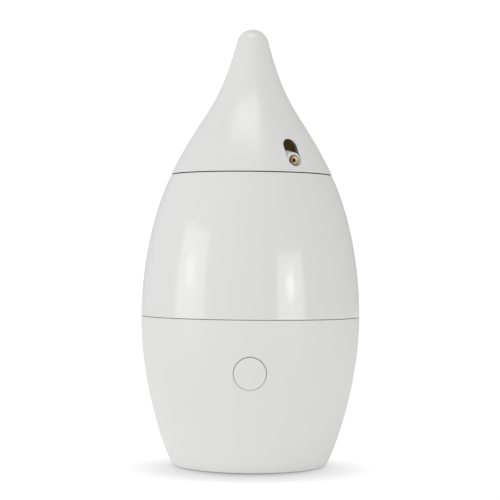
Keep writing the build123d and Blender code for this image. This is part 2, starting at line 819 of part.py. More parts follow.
spring_length = cap_back - guide_back - guide_floor - 2 * (spring_wire + seat_gap)
with BuildPart() as button_spring:
    with BuildLine():
        coil = Helix(
            pitch=spring_length / spring_turns,
            height=spring_length,
            radius=spring_radius,
            center=(0, -cap_back + spring_wire + seat_gap, button_height),
            direction=(0, 1, 0),
        )
    with BuildSketch(Plane(origin=coil @ 0, z_dir=coil % 0)):
        Circle(spring_wire)
    sweep(path=coil, is_frenet=True)

with BuildPart() as switch_board:
    with Locations((0, -switch_board_front, button_height)):
        Box(
            switch_board_size[0],
            switch_board_size[2],
            switch_board_size[1],
            align=(Align.CENTER, Align.MIN, Align.CENTER),
        )
    with BuildSketch(Plane.XZ.offset(switch_board_front - 5)):
        with Locations(
            (-switch_post_spacing, button_height), (switch_post_spacing, button_height)
        ):
            Circle(1.3)
    extrude(amount=10, mode=Mode.SUBTRACT)

with BuildPart() as switch_body:
    with Locations((0, -switch_front, button_height)):
        Box(
            switch_size[0],
            switch_size[2],
            switch_size[1],
            align=(Align.CENTER, Align.MIN, Align.CENTER),
        )
    with BuildSketch(Plane.XZ.offset(switch_front)):
        with Locations((0, button_height)):
            Circle(plunger_radius + plunger_gap)
    extrude(amount=-plunger_length + plunger_stick_out - button_travel - 0.4, mode=Mode.SUBTRACT)

with BuildPart() as switch_plunger:
    with BuildSketch(Plane.XZ.offset(stem_end - seat_gap)):
        with Locations((0, button_height)):
            Circle(plunger_radius)
    extrude(amount=-plunger_length)

with BuildPart() as guide_screws:
    board_back = -switch_board_front + switch_board_size[2]
    with Locations(*[Location((0, -guide_back, z), (-90, 0, 0)) for _, z in ear_spots]):
        add(pan_screw(7.0))
    for side in (-1, 1):
        spot = (side * switch_post_spacing, board_back, button_height)
        with Locations(Location(spot, (-90, 0, 0))):
            add(pan_screw(6.0, head_radius=2.0, shank_radius=1.0))

# ================================================================ tank
rebate_radius = belly_radius - tank_wall + floor_rebate
with BuildPart() as tank_shell:
    outer = tank_line(0)
    inner_low = (belly_radius - tank_wall, floor_top)
    inner_high = (mouth_radius, tank_top - mouth_depth)
    inner = wall_points(
        inner_low, 0, tank_low_pull - 3, inner_high, -shoulder_lean, tank_high_pull, 0
    )
    with BuildSketch(Plane.XZ):
        with BuildLine():
            Bezier(*outer)
            Polyline(outer[-1], (mouth_radius, tank_top), inner_high)
            Bezier(*inner)
            Polyline(
                inner_low, (rebate_radius, floor_top), (rebate_radius, tank_bottom), outer[0]
            )
        make_face()
    revolve(axis=Axis.Z)
    rims = tank_shell.edges().filter_by(GeomType.CIRCLE).group_by(Axis.Z)
    fillet(
        [rims[0].sort_by(SortBy.RADIUS)[-1], rims[-1].sort_by(SortBy.RADIUS)[-1]], edge_softening
    )

socket_bore = riser_radius + tray_gap
riser_ring_z = riser_top - 5.0
riser_groove_radius = socket_bore - 0.09 - 2 * o_ring_section
with BuildPart() as tank_floor:
    with Locations((0, 0, floor_bottom)):
        Cylinder(floor_radius, floor_thickness, align=standing)
        ring_drop = floor_bottom - deck_top - body_gap
        Cylinder(tank_ring_radius, ring_drop, align=hanging)
        Cylinder(tank_ring_radius - tank_ring_width, ring_drop, align=hanging, mode=Mode.SUBTRACT)
        Cylinder(boss_radius, ring_drop - 1.0, align=hanging)
    with Locations((0, 0, floor_bottom)):
        Cylinder(boss_radius, boss_top - floor_bottom, align=standing)
    with Locations((0, 0, boss_top)):
        Cylinder(riser_radius, riser_top - boss_top, align=standing)
    with BuildSketch(Plane.XY.offset(riser_ring_z - o_ring_width / 2)):
        Circle(riser_radius + 1)
        Circle(riser_groove_radius, mode=Mode.SUBTRACT)
    extrude(amount=o_ring_width, mode=Mode.SUBTRACT)
    with Locations((*float_spot, floor_top)):
        Cylinder(float_stem_radius, float_clip_z + 2.5 - floor_top, align=standing)
    with BuildSketch(Plane.XY.offset(float_clip_z)):
        with Locations(float_spot):
            Circle(float_stem_radius + 1)
            Circle(float_stem_radius - 0.5, mode=Mode.SUBTRACT)
    extrude(amount=1.2, mode=Mode.SUBTRACT)
    with Locations((0, 0, spigot_top + 1)):
        Cylinder(spigot_radius + body_gap, 40, align=hanging, mode=Mode.SUBTRACT)
    with Locations((0, 0, spigot_top)):
        Cylinder(riser_bore, riser_top, align=standing, mode=Mode.SUBTRACT)

riser_o_ring = torus_ring(socket_bore - 0.07 - o_ring_section, riser_ring_z)

with BuildPart() as float_ring:
    with Locations((*float_spot, float_bottom)):
        Cylinder(float_radius, float_height, align=standing)
        fillet(float_ring.edges(), 1.0)
        Cylinder(float_stem_radius + float_bore_gap, 80, mode=Mode.SUBTRACT)
    with BuildSketch(Plane.XY.offset(float_bottom)):
        with Locations(float_spot):
            Circle(magnet_ring[1] + seat_gap)
            Circle(magnet_ring[0] - seat_gap, mode=Mode.SUBTRACT)
    extrude(amount=magnet_ring[2] + seat_gap, mode=Mode.SUBTRACT)

with BuildPart() as float_magnet:
    with Locations((*float_spot, float_bottom)):
        tube(magnet_ring[1], magnet_ring[0], magnet_ring[2])

with BuildPart() as float_clip:
    with Locations((*float_spot, float_clip_z + seat_gap)):
        tube(float_stem_radius + 2.0, float_stem_radius - 0.4, 1.0)
        Box(2.6, 10, 4, align=(Align.CENTER, Align.MIN, Align.CENTER), mode=Mode.SUBTRACT)

# ================================================================ cover and head tray
across = math.cos(math.radians(port_bearing)), math.sin(math.radians(port_bearing)), 0
outwards = around(1, port_bearing)
port_plane = Plane(origin=(0, 0, port_centre_height), x_dir=across, z_dir=outwards)
nozzle_plane = Plane(origin=(0, 0, nozzle_height), x_dir=across, z_dir=outwards)


def beside(reach, shift):
    """The x and y of a point along the port's bearing, moved sideways by shift."""
    x, y, _ = around(reach, port_bearing)
    return (x + shift * across[0], y + shift * across[1])


# Distances of the nozzle's pieces from the axis, along the port's bearing.
nozzle_face = radius_at(cover_line(0), nozzle_height) - nozzle_setback
holder_front = nozzle_face - cap_length
holder_taper = holder_front - holder_taper_length
holder_back = holder_front - holder_length
hex_front = holder_back - nozzle_gasket_thickness
hex_back = hex_front - hex_length
block_back = hex_back - block_length
nozzle_barb_end = block_back - nozzle_barb_length
dip_reach = block_back + block_length / 2
dip_spot = beside(dip_reach, 0)
holder_screw_spots = [beside((holder_back + holder_taper) / 2, side * 7.0) for side in (-1, 1)]
cover_post_spots = [around(cover_post_spacing, bearing) for bearing in cover_post_bearings]

# Room that the cover's lip and the tray's wall leave round the nozzle's holder.
with BuildPart() as holder_room:
    with BuildSketch(nozzle_plane.offset(holder_back)):
        Circle(holder_radius + holder_clearance)
        Rectangle(
            holder_foot[0] + 2 * holder_clearance, nozzle_rise, align=(Align.CENTER, Align.MAX)
        )
    extrude(amount=holder_taper - holder_back)
    with BuildSketch(nozzle_plane.offset(holder_taper)):
        Circle(holder_radius + holder_clearance)
    with BuildSketch(nozzle_plane.offset(holder_front)):
        Circle(holder_front_radius + holder_clearance)
    loft()

with BuildPart() as cover_posts:
    with Locations(*[(x, y, tray_top) for x, y, _ in cover_post_spots]):
        Cylinder(cover_post_radius, cover_height, align=standing)
    add(body_form(cover_wall / 2), mode=Mode.INTERSECT)

with BuildPart() as port_lip_ring:
    with BuildSketch(port_plane.offset(nozzle_face / 2)):
        SlotOverall(port_height + 2 * port_lip_wall, port_width + 2 * port_lip_wall, rotation=90)
    extrude(amount=belly_radius)
    add(body_form(cover_wall / 2), mode=Mode.INTERSECT)
    add(body_form(port_lip), mode=Mode.SUBTRACT)

with BuildPart() as cover_shell:
    outer, inner = cover_line(0), cover_line(cover_wall)
    with BuildSketch(Plane.XZ):
        with BuildLine():
            Bezier(*outer)
            CenterArc((0, dome_centre), tip_radius, tip_lean, 90 - tip_lean)
            Line((0, full_height), (0, full_height - cover_wall))
            CenterArc((0, dome_centre), tip_radius - cover_wall, tip_lean, 90 - tip_lean)
            Bezier(*inner)
            Line(inner[0], outer[0])
        make_face()
    revolve(axis=Axis.Z)
    split(bisect_by=Plane.XY.offset(cover_bottom), keep=Keep.TOP)
    rims = cover_shell.edges().filter_by(GeomType.CIRCLE).group_by(Axis.Z)
    fillet(rims[0].sort_by(SortBy.RADIUS)[-1], edge_softening)
    add(port_lip_ring.part)
    add(cover_posts.part)
    with BuildSketch(port_plane.offset(nozzle_face / 2)):
        SlotOverall(port_height, port_width, rotation=90)
    extrude(amount=belly_radius, mode=Mode.SUBTRACT)
    add(holder_room.part, mode=Mode.SUBTRACT)
    with Locations(*[(x, y, tray_top) for x, y, _ in cover_post_spots]):
        Cylinder(pilot_radius, 12, align=standing, mode=Mode.SUBTRACT)

with BuildPart() as lid_gasket:
    with Locations((0, 0, cover_bottom)):
        Cylinder(shoulder_radius - 1.0, gasket_height, align=hanging)
        Cylinder(
            shoulder_radius - 1.0 - gasket_width, gasket_height, align=hanging, mode=Mode.SUBTRACT
        )

with BuildPart() as head_tray:
    with Locations((0, 0, tray_bottom)):
        tube(tray_radius, tray_radius - tray_wall, tray_drop + 0.6)
        Cylinder(tray_radius, tray_floor, align=standing)
    add(holder_room.part, mode=Mode.SUBTRACT)
    with Locations((0, 0, tray_bottom)):
        Cylinder(socket_radius, socket_depth, align=hanging)
    with Locations((*dip_spot, tray_bottom)):
        Cylinder(dip_boss_radius, dip_boss_depth, align=hanging)
    with Locations((*dip_spot, tray_top)):
        Cylinder(liquid_barb_radius, 7.0, align=standing)
        Cylinder(barb_bore, 30, mode=Mode.SUBTRACT)
    with Locations((*dip_spot, tray_bottom - 2)):
        Cylinder(dip_radius + hose_gap, 20, align=hanging, mode=Mode.SUBTRACT)
    with Locations((0, 0, tray_bottom)):
        Cylinder(socket_bore, socket_depth, align=hanging, mode=Mode.SUBTRACT)
        Cylinder(riser_bore, 10, mode=Mode.SUBTRACT)
    with Locations(*[(x, y, tray_bottom) for x, y, _ in cover_post_spots]):
        Cylinder(pilot_radius, 10, mode=Mode.SUBTRACT)
    with Locations(*[(x, y, tray_bottom) for x, y in holder_screw_spots]):
        Cylinder(pilot_radius, 10, mode=Mode.SUBTRACT)
    with Locations(*[around(tray_radius - 6, b, tray_bottom) for b in range(110, 320, 25)]):
        Cylinder(1.6, 10, mode=Mode.SUBTRACT)

with BuildPart() as tray_screws:
    with Locations(*[Location((x, y, tray_bottom), (180, 0, 0)) for x, y, _ in cover_post_spots]):
        add(pan_screw(9.0))

with BuildPart() as nozzle_holder:
    with BuildSketch(nozzle_plane.offset(holder_back)):
        Circle(holder_radius)
        Rectangle(holder_web, nozzle_rise, align=(Align.CENTER, Align.MAX))
        with Locations((0, -nozzle_rise)):
            Rectangle(*holder_foot, align=(Align.CENTER, Align.MIN))
    extrude(amount=holder_taper - holder_back)
    with BuildSketch(nozzle_plane.offset(holder_taper)):
        Circle(holder_radius)
    with BuildSketch(nozzle_plane.offset(holder_front)):
        Circle(holder_front_radius)
    loft()
    with BuildSketch(nozzle_plane):
        Circle(nozzle_radius + nozzle_gap)
    extrude(amount=belly_radius, mode=Mode.SUBTRACT)
    with Locations(*[(x, y, tray_top) for x, y in holder_screw_spots]):
        Cylinder(pilot_radius, 10, mode=Mode.SUBTRACT)

with BuildPart() as holder_screws:
    with Locations(*[Location((x, y, tray_bottom), (180, 0, 0)) for x, y in holder_screw_spots]):
        add(pan_screw(4.2))

with BuildPart() as nozzle_gasket:
    with BuildSketch(nozzle_plane.offset(hex_front)):
        Circle(hex_width / 2)
        Circle(nozzle_radius + nozzle_gap, mode=Mode.SUBTRACT)
    extrude(amount=holder_back - hex_front)

chamber_radius = nozzle_radius - 1.0
chamber_back = holder_back + 1.5
with BuildPart() as nozzle_body:
    with BuildSketch(nozzle_plane.offset(hex_front)):
        Circle(nozzle_radius)
    extrude(amount=holder_front - hex_front)
    with BuildSketch(nozzle_plane.offset(hex_back)):
        RegularPolygon(hex_width / 2, 6, major_radius=False)
    extrude(amount=hex_length)
    with BuildSketch(nozzle_plane.offset(block_back)):
        Circle(block_radius)
    extrude(amount=block_length)
    with BuildSketch(nozzle_plane.offset(nozzle_barb_end)):
        Circle(barb_radius)
    extrude(amount=nozzle_barb_length)
    with Locations((*dip_spot, nozzle_height)):
        Cylinder(liquid_barb_radius, liquid_drop, align=hanging)
    # Air enters along the axis and passes above the liquid, which comes up the lower barb.
    with BuildSketch(nozzle_plane.offset(nozzle_barb_end)):
        Circle(barb_bore)
    extrude(amount=nozzle_barb_length + 1.5, mode=Mode.SUBTRACT)
    with BuildSketch(nozzle_plane.offset(block_back + 0.5)):
        with Locations((0, 1.5)):
            Circle(0.7)
    extrude(amount=chamber_back - block_back, mode=Mode.SUBTRACT)
    with BuildSketch(nozzle_plane.offset(dip_reach)):
        with Locations((0, -0.9)):
            Circle(0.7)
    extrude(amount=chamber_back - dip_reach, mode=Mode.SUBTRACT)
    with Locations((*dip_spot, nozzle_height - 0.9)):
        Cylinder(0.9, 30, align=hanging, mode=Mode.SUBTRACT)
    with BuildSketch(nozzle_plane.offset(chamber_back)):
        Circle(chamber_radius)
    extrude(amount=20, mode=Mode.SUBTRACT)

with BuildPart() as liquid_jet:
    with BuildSketch(nozzle_plane.offset(chamber_back)):
        Circle(chamber_radius - hose_gap)
        with Locations((0, 1.9)):
            Rectangle(1.6, 1.6, mode=Mode.SUBTRACT)
    extrude(amount=1.5)
    with BuildSketch(nozzle_plane.offset(chamber_back)):
        Circle(0.9)
    extrude(amount=holder_front - chamber_back - 3)
    with BuildSketch(nozzle_plane.offset(chamber_back)):
        Circle(0.55)
    extrude(amount=holder_front - chamber_back - jet_setback)
    with BuildSketch(nozzle_plane.offset(chamber_back)):
        Circle(0.3)
    extrude(amount=30, mode=Mode.SUBTRACT)

with BuildPart() as nozzle_cap:
    with BuildSketch(nozzle_plane.offset(holder_front)):
        Circle(nozzle_radius)
    extrude(amount=cap_length)
    chamfer(nozzle_cap.edges().filter_by(GeomType.CIRCLE), 0.25)
    with BuildSketch(nozzle_plane.offset(holder_front - cap_plug)):
        Circle(chamber_radius - hose_gap)
    extrude(amount=cap_plug + 0.3)
    with BuildSketch(nozzle_plane.offset(nozzle_face - cap_recess_depth)):
        Circle(orifice_radius)
    with BuildSketch(nozzle_plane.offset(nozzle_face)):
        Circle(cap_recess_radius)
    loft(mode=Mode.SUBTRACT)
    with BuildSketch(nozzle_plane.offset(holder_front - 4)):
        Circle(orifice_radius)
    extrude(amount=8, mode=Mode.SUBTRACT)

with BuildPart() as air_elbow:
    with Locations((0, 0, tray_top)):
        Cylinder(elbow_radius + 2, 1.5, align=standing)
        Cylinder(elbow_radius, nozzle_height - tray_top, align=standing)
    with Locations((0, 0, nozzle_height)):
        Sphere(elbow_radius)
    with BuildSketch(nozzle_plane):
        Circle(barb_radius)
    extrude(amount=elbow_reach)
    with BuildSketch(nozzle_plane):
        Circle(barb_bore)
    extrude(amount=elbow_reach, mode=Mode.SUBTRACT)
    with Locations((0, 0, tray_top)):
        Cylinder(riser_bore - 1, nozzle_height - tray_top, align=standing, mode=Mode.SUBTRACT)

hose_start = elbow_radius + 0.6
with BuildPart() as air_hose:
    with BuildSketch(nozzle_plane.offset(hose_start)):
        Circle(hose_radius)
        Circle(hose_bore, mode=Mode.SUBTRACT)
    extrude(amount=block_back - 1 - hose_start)

with BuildPart() as water_hose:
    with Locations((*dip_spot, tray_top + 0.5)):
        tube(
            liquid_barb_radius + hose_gap + hose_wall,
            liquid_barb_radius + hose_gap,
            nozzle_height - block_radius - tray_top - 1.2,
        )

dip_end = floor_top + dip_clearance
with BuildPart() as dip_tube:
    with Locations((*dip_spot, tray_bottom - 2)):
        Cylinder(dip_radius, tray_bottom - 2 - dip_end, align=hanging)
        Cylinder(dip_bore, tray_bottom - 2 - dip_end, align=hanging, mode=Mode.SUBTRACT)

with BuildPart() as dip_strainer:
    strainer_bottom = dip_end - 3.0
    with Locations((*dip_spot, strainer_bottom)):
        Cylinder(strainer_radius, strainer_height, align=standing)
        fillet(dip_strainer.edges().group_by(Axis.Z)[0], 1.0)
    with Locations((*dip_spot, dip_end)):
        Cylinder(dip_radius + hose_gap, strainer_height, align=standing, mode=Mode.SUBTRACT)
        Cylinder(dip_radius - 0.2, 1.8, align=hanging, mode=Mode.SUBTRACT)
    with Locations((*dip_spot, dip_end - 0.9)):
        Box(20, 1.2, 1.6, mode=Mode.SUBTRACT)
        Box(1.2, 20, 1.6, mode=Mode.SUBTRACT)

# ================================================================ written pieces
pieces = {
    "base_shell": base_shell,
    "bottom_plate": bottom_plate,
    "rubber_feet": rubber_feet,
    "bottom_screws": bottom_screws,
    "intake_filter": intake_filter,
    "main_board": main_board,
    "board_screws": board_screws,
    "capacitors": capacitors,
    "driver_chip": driver_chip,
    "lead_connectors": lead_connectors,
    "dc_jack": dc_jack,
    "jack_pin": jack_pin,
    "pump_frame": pump_frame,
    "pump_grommets": pump_grommets,
    "pump_screws": pump_screws,
    "pump_core": pump_core,
    "pump_coil": pump_coil,
    "valve_block": valve_block,
    "bellows": bellows,
    "pivot_pin": pivot_pin,
    "swing_arm": swing_arm,
    "arm_magnet": arm_magnet,
    "pump_hose": pump_hose,
    "base_deck": base_deck,
    "deck_screws": deck_screws,
    "spigot_o_ring": spigot_o_ring,
    "reed_switch": reed_switch,
    "button_cap": button_cap,
    "button_guide": button_guide,
    "button_spring": button_spring,
    "switch_plunger": switch_plunger,
    "switch_body": switch_body,
    "switch_board": switch_board,
    "guide_screws": guide_screws,
    "tank_shell": tank_shell,
    "tank_floor": tank_floor,
    "riser_o_ring": riser_o_ring,
    "float_ring": float_ring,
    "float_magnet": float_magnet,
    "float_clip": float_clip,
    "cover_shell": cover_shell,
    "lid_gasket": lid_gasket,
    "head_tray": head_tray,
    "tray_screws": tray_screws,
    "nozzle_holder": nozzle_holder,
    "holder_screws": holder_screws,
    "nozzle_gasket": nozzle_gasket,
    "nozzle_body": nozzle_body,
    "liquid_jet": liquid_jet,
    "nozzle_cap": nozzle_cap,
    "air_elbow": air_elbow,
    "air_hose": air_hose,
    "water_hose": water_hose,
    "dip_tube": dip_tube,
    "dip_strainer": dip_strainer,
}
for name, piece in pieces.items():
    piece.part.label = name
    export_step(piece.part, f"parts/{name}.step")
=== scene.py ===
import json
import math

import bmesh
import bpy
from mathutils import Matrix, Vector


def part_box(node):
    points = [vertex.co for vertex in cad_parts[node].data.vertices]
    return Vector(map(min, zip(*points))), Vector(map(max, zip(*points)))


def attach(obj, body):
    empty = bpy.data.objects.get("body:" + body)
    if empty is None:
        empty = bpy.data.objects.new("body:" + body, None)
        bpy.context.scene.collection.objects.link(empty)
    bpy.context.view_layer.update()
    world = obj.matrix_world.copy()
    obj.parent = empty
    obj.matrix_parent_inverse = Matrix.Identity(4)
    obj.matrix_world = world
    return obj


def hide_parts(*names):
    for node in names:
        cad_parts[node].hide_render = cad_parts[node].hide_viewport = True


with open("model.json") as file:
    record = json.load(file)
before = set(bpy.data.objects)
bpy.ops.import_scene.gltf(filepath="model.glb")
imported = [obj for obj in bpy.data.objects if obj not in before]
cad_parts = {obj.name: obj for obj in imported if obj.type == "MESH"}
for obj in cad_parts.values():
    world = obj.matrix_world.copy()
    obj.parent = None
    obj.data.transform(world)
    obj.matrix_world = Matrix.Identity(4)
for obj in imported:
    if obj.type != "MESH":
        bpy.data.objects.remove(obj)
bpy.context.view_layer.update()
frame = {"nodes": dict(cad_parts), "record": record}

# Cool mist humidifier. The three shells, the button and the nozzle's tip are modelled here;
# every other piece keeps its CAD shape and gets its finish here.
# Outlines are in millimetres and meshes in metres.
MM = 0.001
NODES = frame["nodes"]

# ---------------------------------------------------------------- sizes
ROUND_STEPS = 192          # facets round the body
SMALL_ROUND_STEPS = 96     # facets round the button, the port and the nozzle
JACK_ROUND_STEPS = 48
SHARP_ANGLE = math.radians(35)


def low_of(node):
    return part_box(node)[0] / MM


def high_of(node):
    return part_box(node)[1] / MM


BELLY_RADIUS = high_of("base_shell").x
BASE_TOP = high_of("base_shell").z
FOOT_DROP = 0.5            # lower edge of the shell below the CAD's
FOOT_LIFT = low_of("base_shell").z - FOOT_DROP
TANK_BOTTOM = low_of("tank_shell").z
TANK_TOP = high_of("tank_shell").z
TANK_FLOOR = 3.4
FLOOR_TOP = TANK_BOTTOM + TANK_FLOOR
COVER_BOTTOM = high_of("lid_gasket").z
UPPER_SEAM = (TANK_TOP + COVER_BOTTOM) / 2
FULL_HEIGHT = high_of("cover_shell").z
FOOT_RADIUS = 53.1
SHOULDER_RADIUS = 55.5
BASE_WALL = 2.6
TANK_WALL = 3.0
COVER_WALL = 2.6
FLOOR_REBATE = 1.2
MOUTH_RADIUS = 51.3
MOUTH_DEPTH = 3.6
FOOT_FLARE = 28.5
SHOULDER_LEAN = 26.0
TIP_LEAN = 14.9
TIP_RADIUS = 11.1
# How strongly each outline keeps its direction at its ends.
FOOT_PULL, BASE_TOP_PULL = 16.0, 44.0
TANK_LOW_PULL, TANK_HIGH_PULL = 39.0, 24.0
TANK_INNER_PULL = 36.0
COVER_LOW_PULL, COVER_HIGH_PULL = 50.0, 52.0
EDGE_ROUND = 0.3           # rounding of the edges along the seams

BUTTON_HEIGHT = (low_of("button_cap").z + high_of("button_cap").z) / 2
BUTTON_RADIUS = high_of("button_cap").x
BUTTON_GAP = 0.5
BUTTON_EDGE = 0.3
BUTTON_LEDGE = (0.8, 0.3)  # depth and width of the step in the button's hole
BUTTON_SAG = 0.12          # the button rests on the lower side of its guide
BUTTON_DEPTH = 8.5         # end of the button's skirt behind its face
BUTTON_SKIRT = 2           # wall of the skirt
BUTTON_THICKNESS = 5.5
HOLE_DEPTH = 8.0           # depth of the cuts for the button and the jack
HOLE_FLARE = (0.35, 0.094)  # how a cutter widens past a hole's rounded edge
JACK_HEIGHT = (low_of("jack_pin").z + high_of("jack_pin").z) / 2
JACK_HOLE_RADIUS = 4.2
JACK_EDGE = 0.3

PORT_BEARING = math.radians(34.0)
PORT_WIDTH = 10.8
PORT_HEIGHT = 18.7
PORT_RISE = 13.5           # middle of the port above the upper seam
PORT_MIDDLE = UPPER_SEAM + PORT_RISE
PORT_LIP = 3.1             # depth of the port's inner lip
PORT_LIP_WALL = 1.6
PORT_EDGE = 0.45
PORT_DEPTH = 14.0          # depth of the port's cut
PORT_OUTWARD = Vector((math.sin(PORT_BEARING), -math.cos(PORT_BEARING), 0))

NOZZLE_RISE = 8.25         # the nozzle's axis above the upper seam
NOZZLE_SETBACK = 0.5       # the nozzle's face behind the cover's surface
NOZZLE_RADIUS = 3.4
NOZZLE_EDGE = 0.35
NOZZLE_SHOULDER = 0.4      # where the straight side starts behind the face
NOZZLE_CAP_LENGTH = 1.3
NOZZLE_PLUG_RADIUS = 2.2
NOZZLE_PLUG_END = -3.4
CONE_RADIUS = 2.6
CONE_DEPTH = 1.0
CONE_EDGE = 0.08
CONE_RIM_DEPTH = 0.05
ORIFICE_RADIUS = 0.9


# ---------------------------------------------------------------- body outline
class WallCurve:
    """The outline of one shell: a Bezier curve from a low to a high (radius, height)."""

    def __init__(self, low, low_tilt, low_pull, high, high_tilt, high_pull, inset=0.0):
        def moved(point, tilt, pull):
            lean = math.radians(tilt)
            radius = point[0] - inset * math.cos(lean) + pull * math.sin(lean)
            return (radius, point[1] + inset * math.sin(lean) + pull * math.cos(lean))

        self.points = (
            moved(low, low_tilt, 0),
            moved(low, low_tilt, low_pull),
            moved(high, high_tilt, -high_pull),
            moved(high, high_tilt, 0),
        )

    def at(self, t):
        weights = ((1 - t) ** 3, 3 * t * (1 - t) ** 2, 3 * t * t * (1 - t), t**3)
        return tuple(sum(w * p[axis] for w, p in zip(weights, self.points)) for axis in (0, 1))

    def sampled(self, count, start=0.0):
        return [self.at(start + (1 - start) * step / count) for step in range(count + 1)]

    def parameter(self, height):
        low, high = 0.0, 1.0
        for _ in range(36):
            middle = (low + high) / 2
            low, high = (middle, high) if self.at(middle)[1] < height else (low, middle)
        return low

    def radius(self, height):
        return self.at(self.parameter(height))[0]

    def normal(self, x, y, height):
        """The outward normal of the turned surface above or below a point."""
        t = self.parameter(height)
        before, after = self.at(max(t - 1e-4, 0.0)), self.at(min(t + 1e-4, 1.0))
        rise, run = after[1] - before[1], after[0] - before[0]
        outward = Vector((x, y, 0)).normalized() * rise
        return (outward - Vector((0, 0, run))).normalized()


def base_curve(inset=0.0):
    return WallCurve(
        (FOOT_RADIUS, FOOT_LIFT), FOOT_FLARE, FOOT_PULL, (BELLY_RADIUS, BASE_TOP), 0, BASE_TOP_PULL, inset
    )


def tank_curve(inset=0.0):
    return WallCurve(
        (BELLY_RADIUS, TANK_BOTTOM),
        0,
        TANK_LOW_PULL,
        (SHOULDER_RADIUS, TANK_TOP),
        -SHOULDER_LEAN,
        TANK_HIGH_PULL,
        inset,
    )


def cover_curve(inset=0.0):
    lean = math.radians(TIP_LEAN)
    top = (TIP_RADIUS * math.cos(lean), FULL_HEIGHT - TIP_RADIUS * (1 - math.sin(lean)))
    return WallCurve(
        (SHOULDER_RADIUS, COVER_BOTTOM),
        -SHOULDER_LEAN,
        COVER_LOW_PULL,
        top,
        -TIP_LEAN,
        COVER_HIGH_PULL,
        inset,
    )


def tip_arc(inset, count):
    """The ball of the tip, from where the wall meets it to just short of the axis."""
    centre = FULL_HEIGHT - TIP_RADIUS
    radius = TIP_RADIUS - inset
    angles = [math.radians(TIP_LEAN + (90 - TIP_LEAN) * step / count) for step in range(count + 1)]
    return [(radius * math.cos(a), centre + radius * math.sin(a)) for a in angles]


# The middle of the nozzle's face.
NOZZLE_HEIGHT = UPPER_SEAM + NOZZLE_RISE
NOZZLE_FACE = PORT_OUTWARD * (cover_curve().radius(NOZZLE_HEIGHT) - NOZZLE_SETBACK) * MM
NOZZLE_FACE.z = NOZZLE_HEIGHT * MM

# ---------------------------------------------------------------- mesh helpers
def face_outwards(bm):
    """Turns the faces of a closed mesh to point outwards."""
    bmesh.ops.recalc_face_normals(bm, faces=bm.faces)
    if bm.calc_volume(signed=True) < 0:
        bmesh.ops.reverse_faces(bm, faces=bm.faces)


def turned(outline, steps=ROUND_STEPS, closed=True):
    """A bmesh of an outline of (radius, height) points spun round the Z axis."""
    bm = bmesh.new()
    verts = [bm.verts.new((radius * MM, 0, height * MM)) for radius, height in outline]
    pairs = zip(verts, verts[1:] + verts[:1]) if closed else zip(verts, verts[1:])
    edges = [bm.edges.new(pair) for pair in pairs]
    bmesh.ops.spin(
        bm,
        geom=verts + edges,
        cent=(0, 0, 0),
        axis=(0, 0, 1),
        angle=math.tau,
        steps=steps,
        use_merge=True,
    )
    bmesh.ops.remove_doubles(bm, verts=bm.verts, dist=1e-7)
    face_outwards(bm)
    return bm


def ring_edges(bm, radius, height, slack=0.004):
    """The edges of the ring at a (radius, height) round the Z axis."""

    def on_ring(vert):
        away = math.hypot(vert.co.x, vert.co.y) / MM - radius
        return abs(away) < slack and abs(vert.co.z / MM - height) < slack

    return [edge for edge in bm.edges if on_ring(edge.verts[0]) and on_ring(edge.verts[1])]


def soften(bm, rings, width, segments=3):
    """Rounds the ring edges at those (radius, height) places."""
    edges = [edge for ring in rings for edge in ring_edges(bm, *ring)]
    bmesh.ops.bevel(
        bm,
        geom=edges,
        offset=width * MM,
        offset_type="OFFSET",
        affect="EDGES",
        segments=segments,
        profile=0.5,
        material=-1,
    )


def make_piece(name, bm, material, body=None, stands_for=()):
    """Turns a bmesh into a smooth-shaded object that rides on a body."""
    mesh = bpy.data.meshes.new(name)
    bm.to_mesh(mesh)
    bm.free()
    mesh.shade_smooth()
    mesh.set_sharp_from_angle(angle=SHARP_ANGLE)
    piece = bpy.data.objects.new(name, mesh)
    bpy.context.scene.collection.objects.link(piece)
    if material:
        mesh.materials.append(material)
    if body:
        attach(piece, body)
    if stands_for:
        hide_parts(*stands_for)
    return piece


def carve(piece, steps):
    """Joins or cuts other objects into a piece and removes them. Steps are (object, operation)."""
    for tool, operation in steps:
        carving = piece.modifiers.new("carving", "BOOLEAN")
        carving.operation = operation
        carving.solver = "EXACT"
        carving.object = tool
    graph = bpy.context.evaluated_depsgraph_get()
    carved = bpy.data.meshes.new_from_object(piece.evaluated_get(graph))
    piece.modifiers.clear()
    plain = piece.data
    piece.data = carved
    bpy.data.meshes.remove(plain)
    carved.name = piece.name
    for tool, _ in steps:
        bpy.data.objects.remove(tool)


def true_normals(piece, curve, slack=0.01):
    """Shades the faces on a curve's turned surface by that surface's own normals."""
    mesh = piece.data
    mesh.set_sharp_from_angle(angle=SHARP_ANGLE)
    on_surface = []
    for vert in mesh.vertices:
        x, y, z = vert.co / MM
        inside = curve.points[0][1] - slack < z < curve.points[3][1] + slack
        on_surface.append(inside and abs(math.hypot(x, y) - curve.radius(z)) < slack)
    normals = [Vector((0, 0, 0))] * len(mesh.loops)
    for face in mesh.polygons:
        if all(on_surface[index] for index in face.vertices):
            for loop in face.loop_indices:
                place = mesh.vertices[mesh.loops[loop].vertex_index].co / MM
                normals[loop] = curve.normal(*place)
    mesh.normals_split_custom_set(normals)


# ---------------------------------------------------------------- finishes
def new_group(name, inputs, outputs):
    """An empty shader group with named sockets: inputs are (name, value), outputs (name, type)."""
    group = bpy.data.node_groups.new(name, "ShaderNodeTree")
    for title, value in inputs:
        socket = group.interface.new_socket(title, in_out="INPUT", socket_type="NodeSocketFloat")
        socket.default_value = value
    for title, kind in outputs:
        group.interface.new_socket(title, in_out="OUTPUT", socket_type=kind)
    return group


def link_nodes(tree, start, start_socket, end, end_socket):
    tree.links.new(start.outputs[start_socket], end.inputs[end_socket])


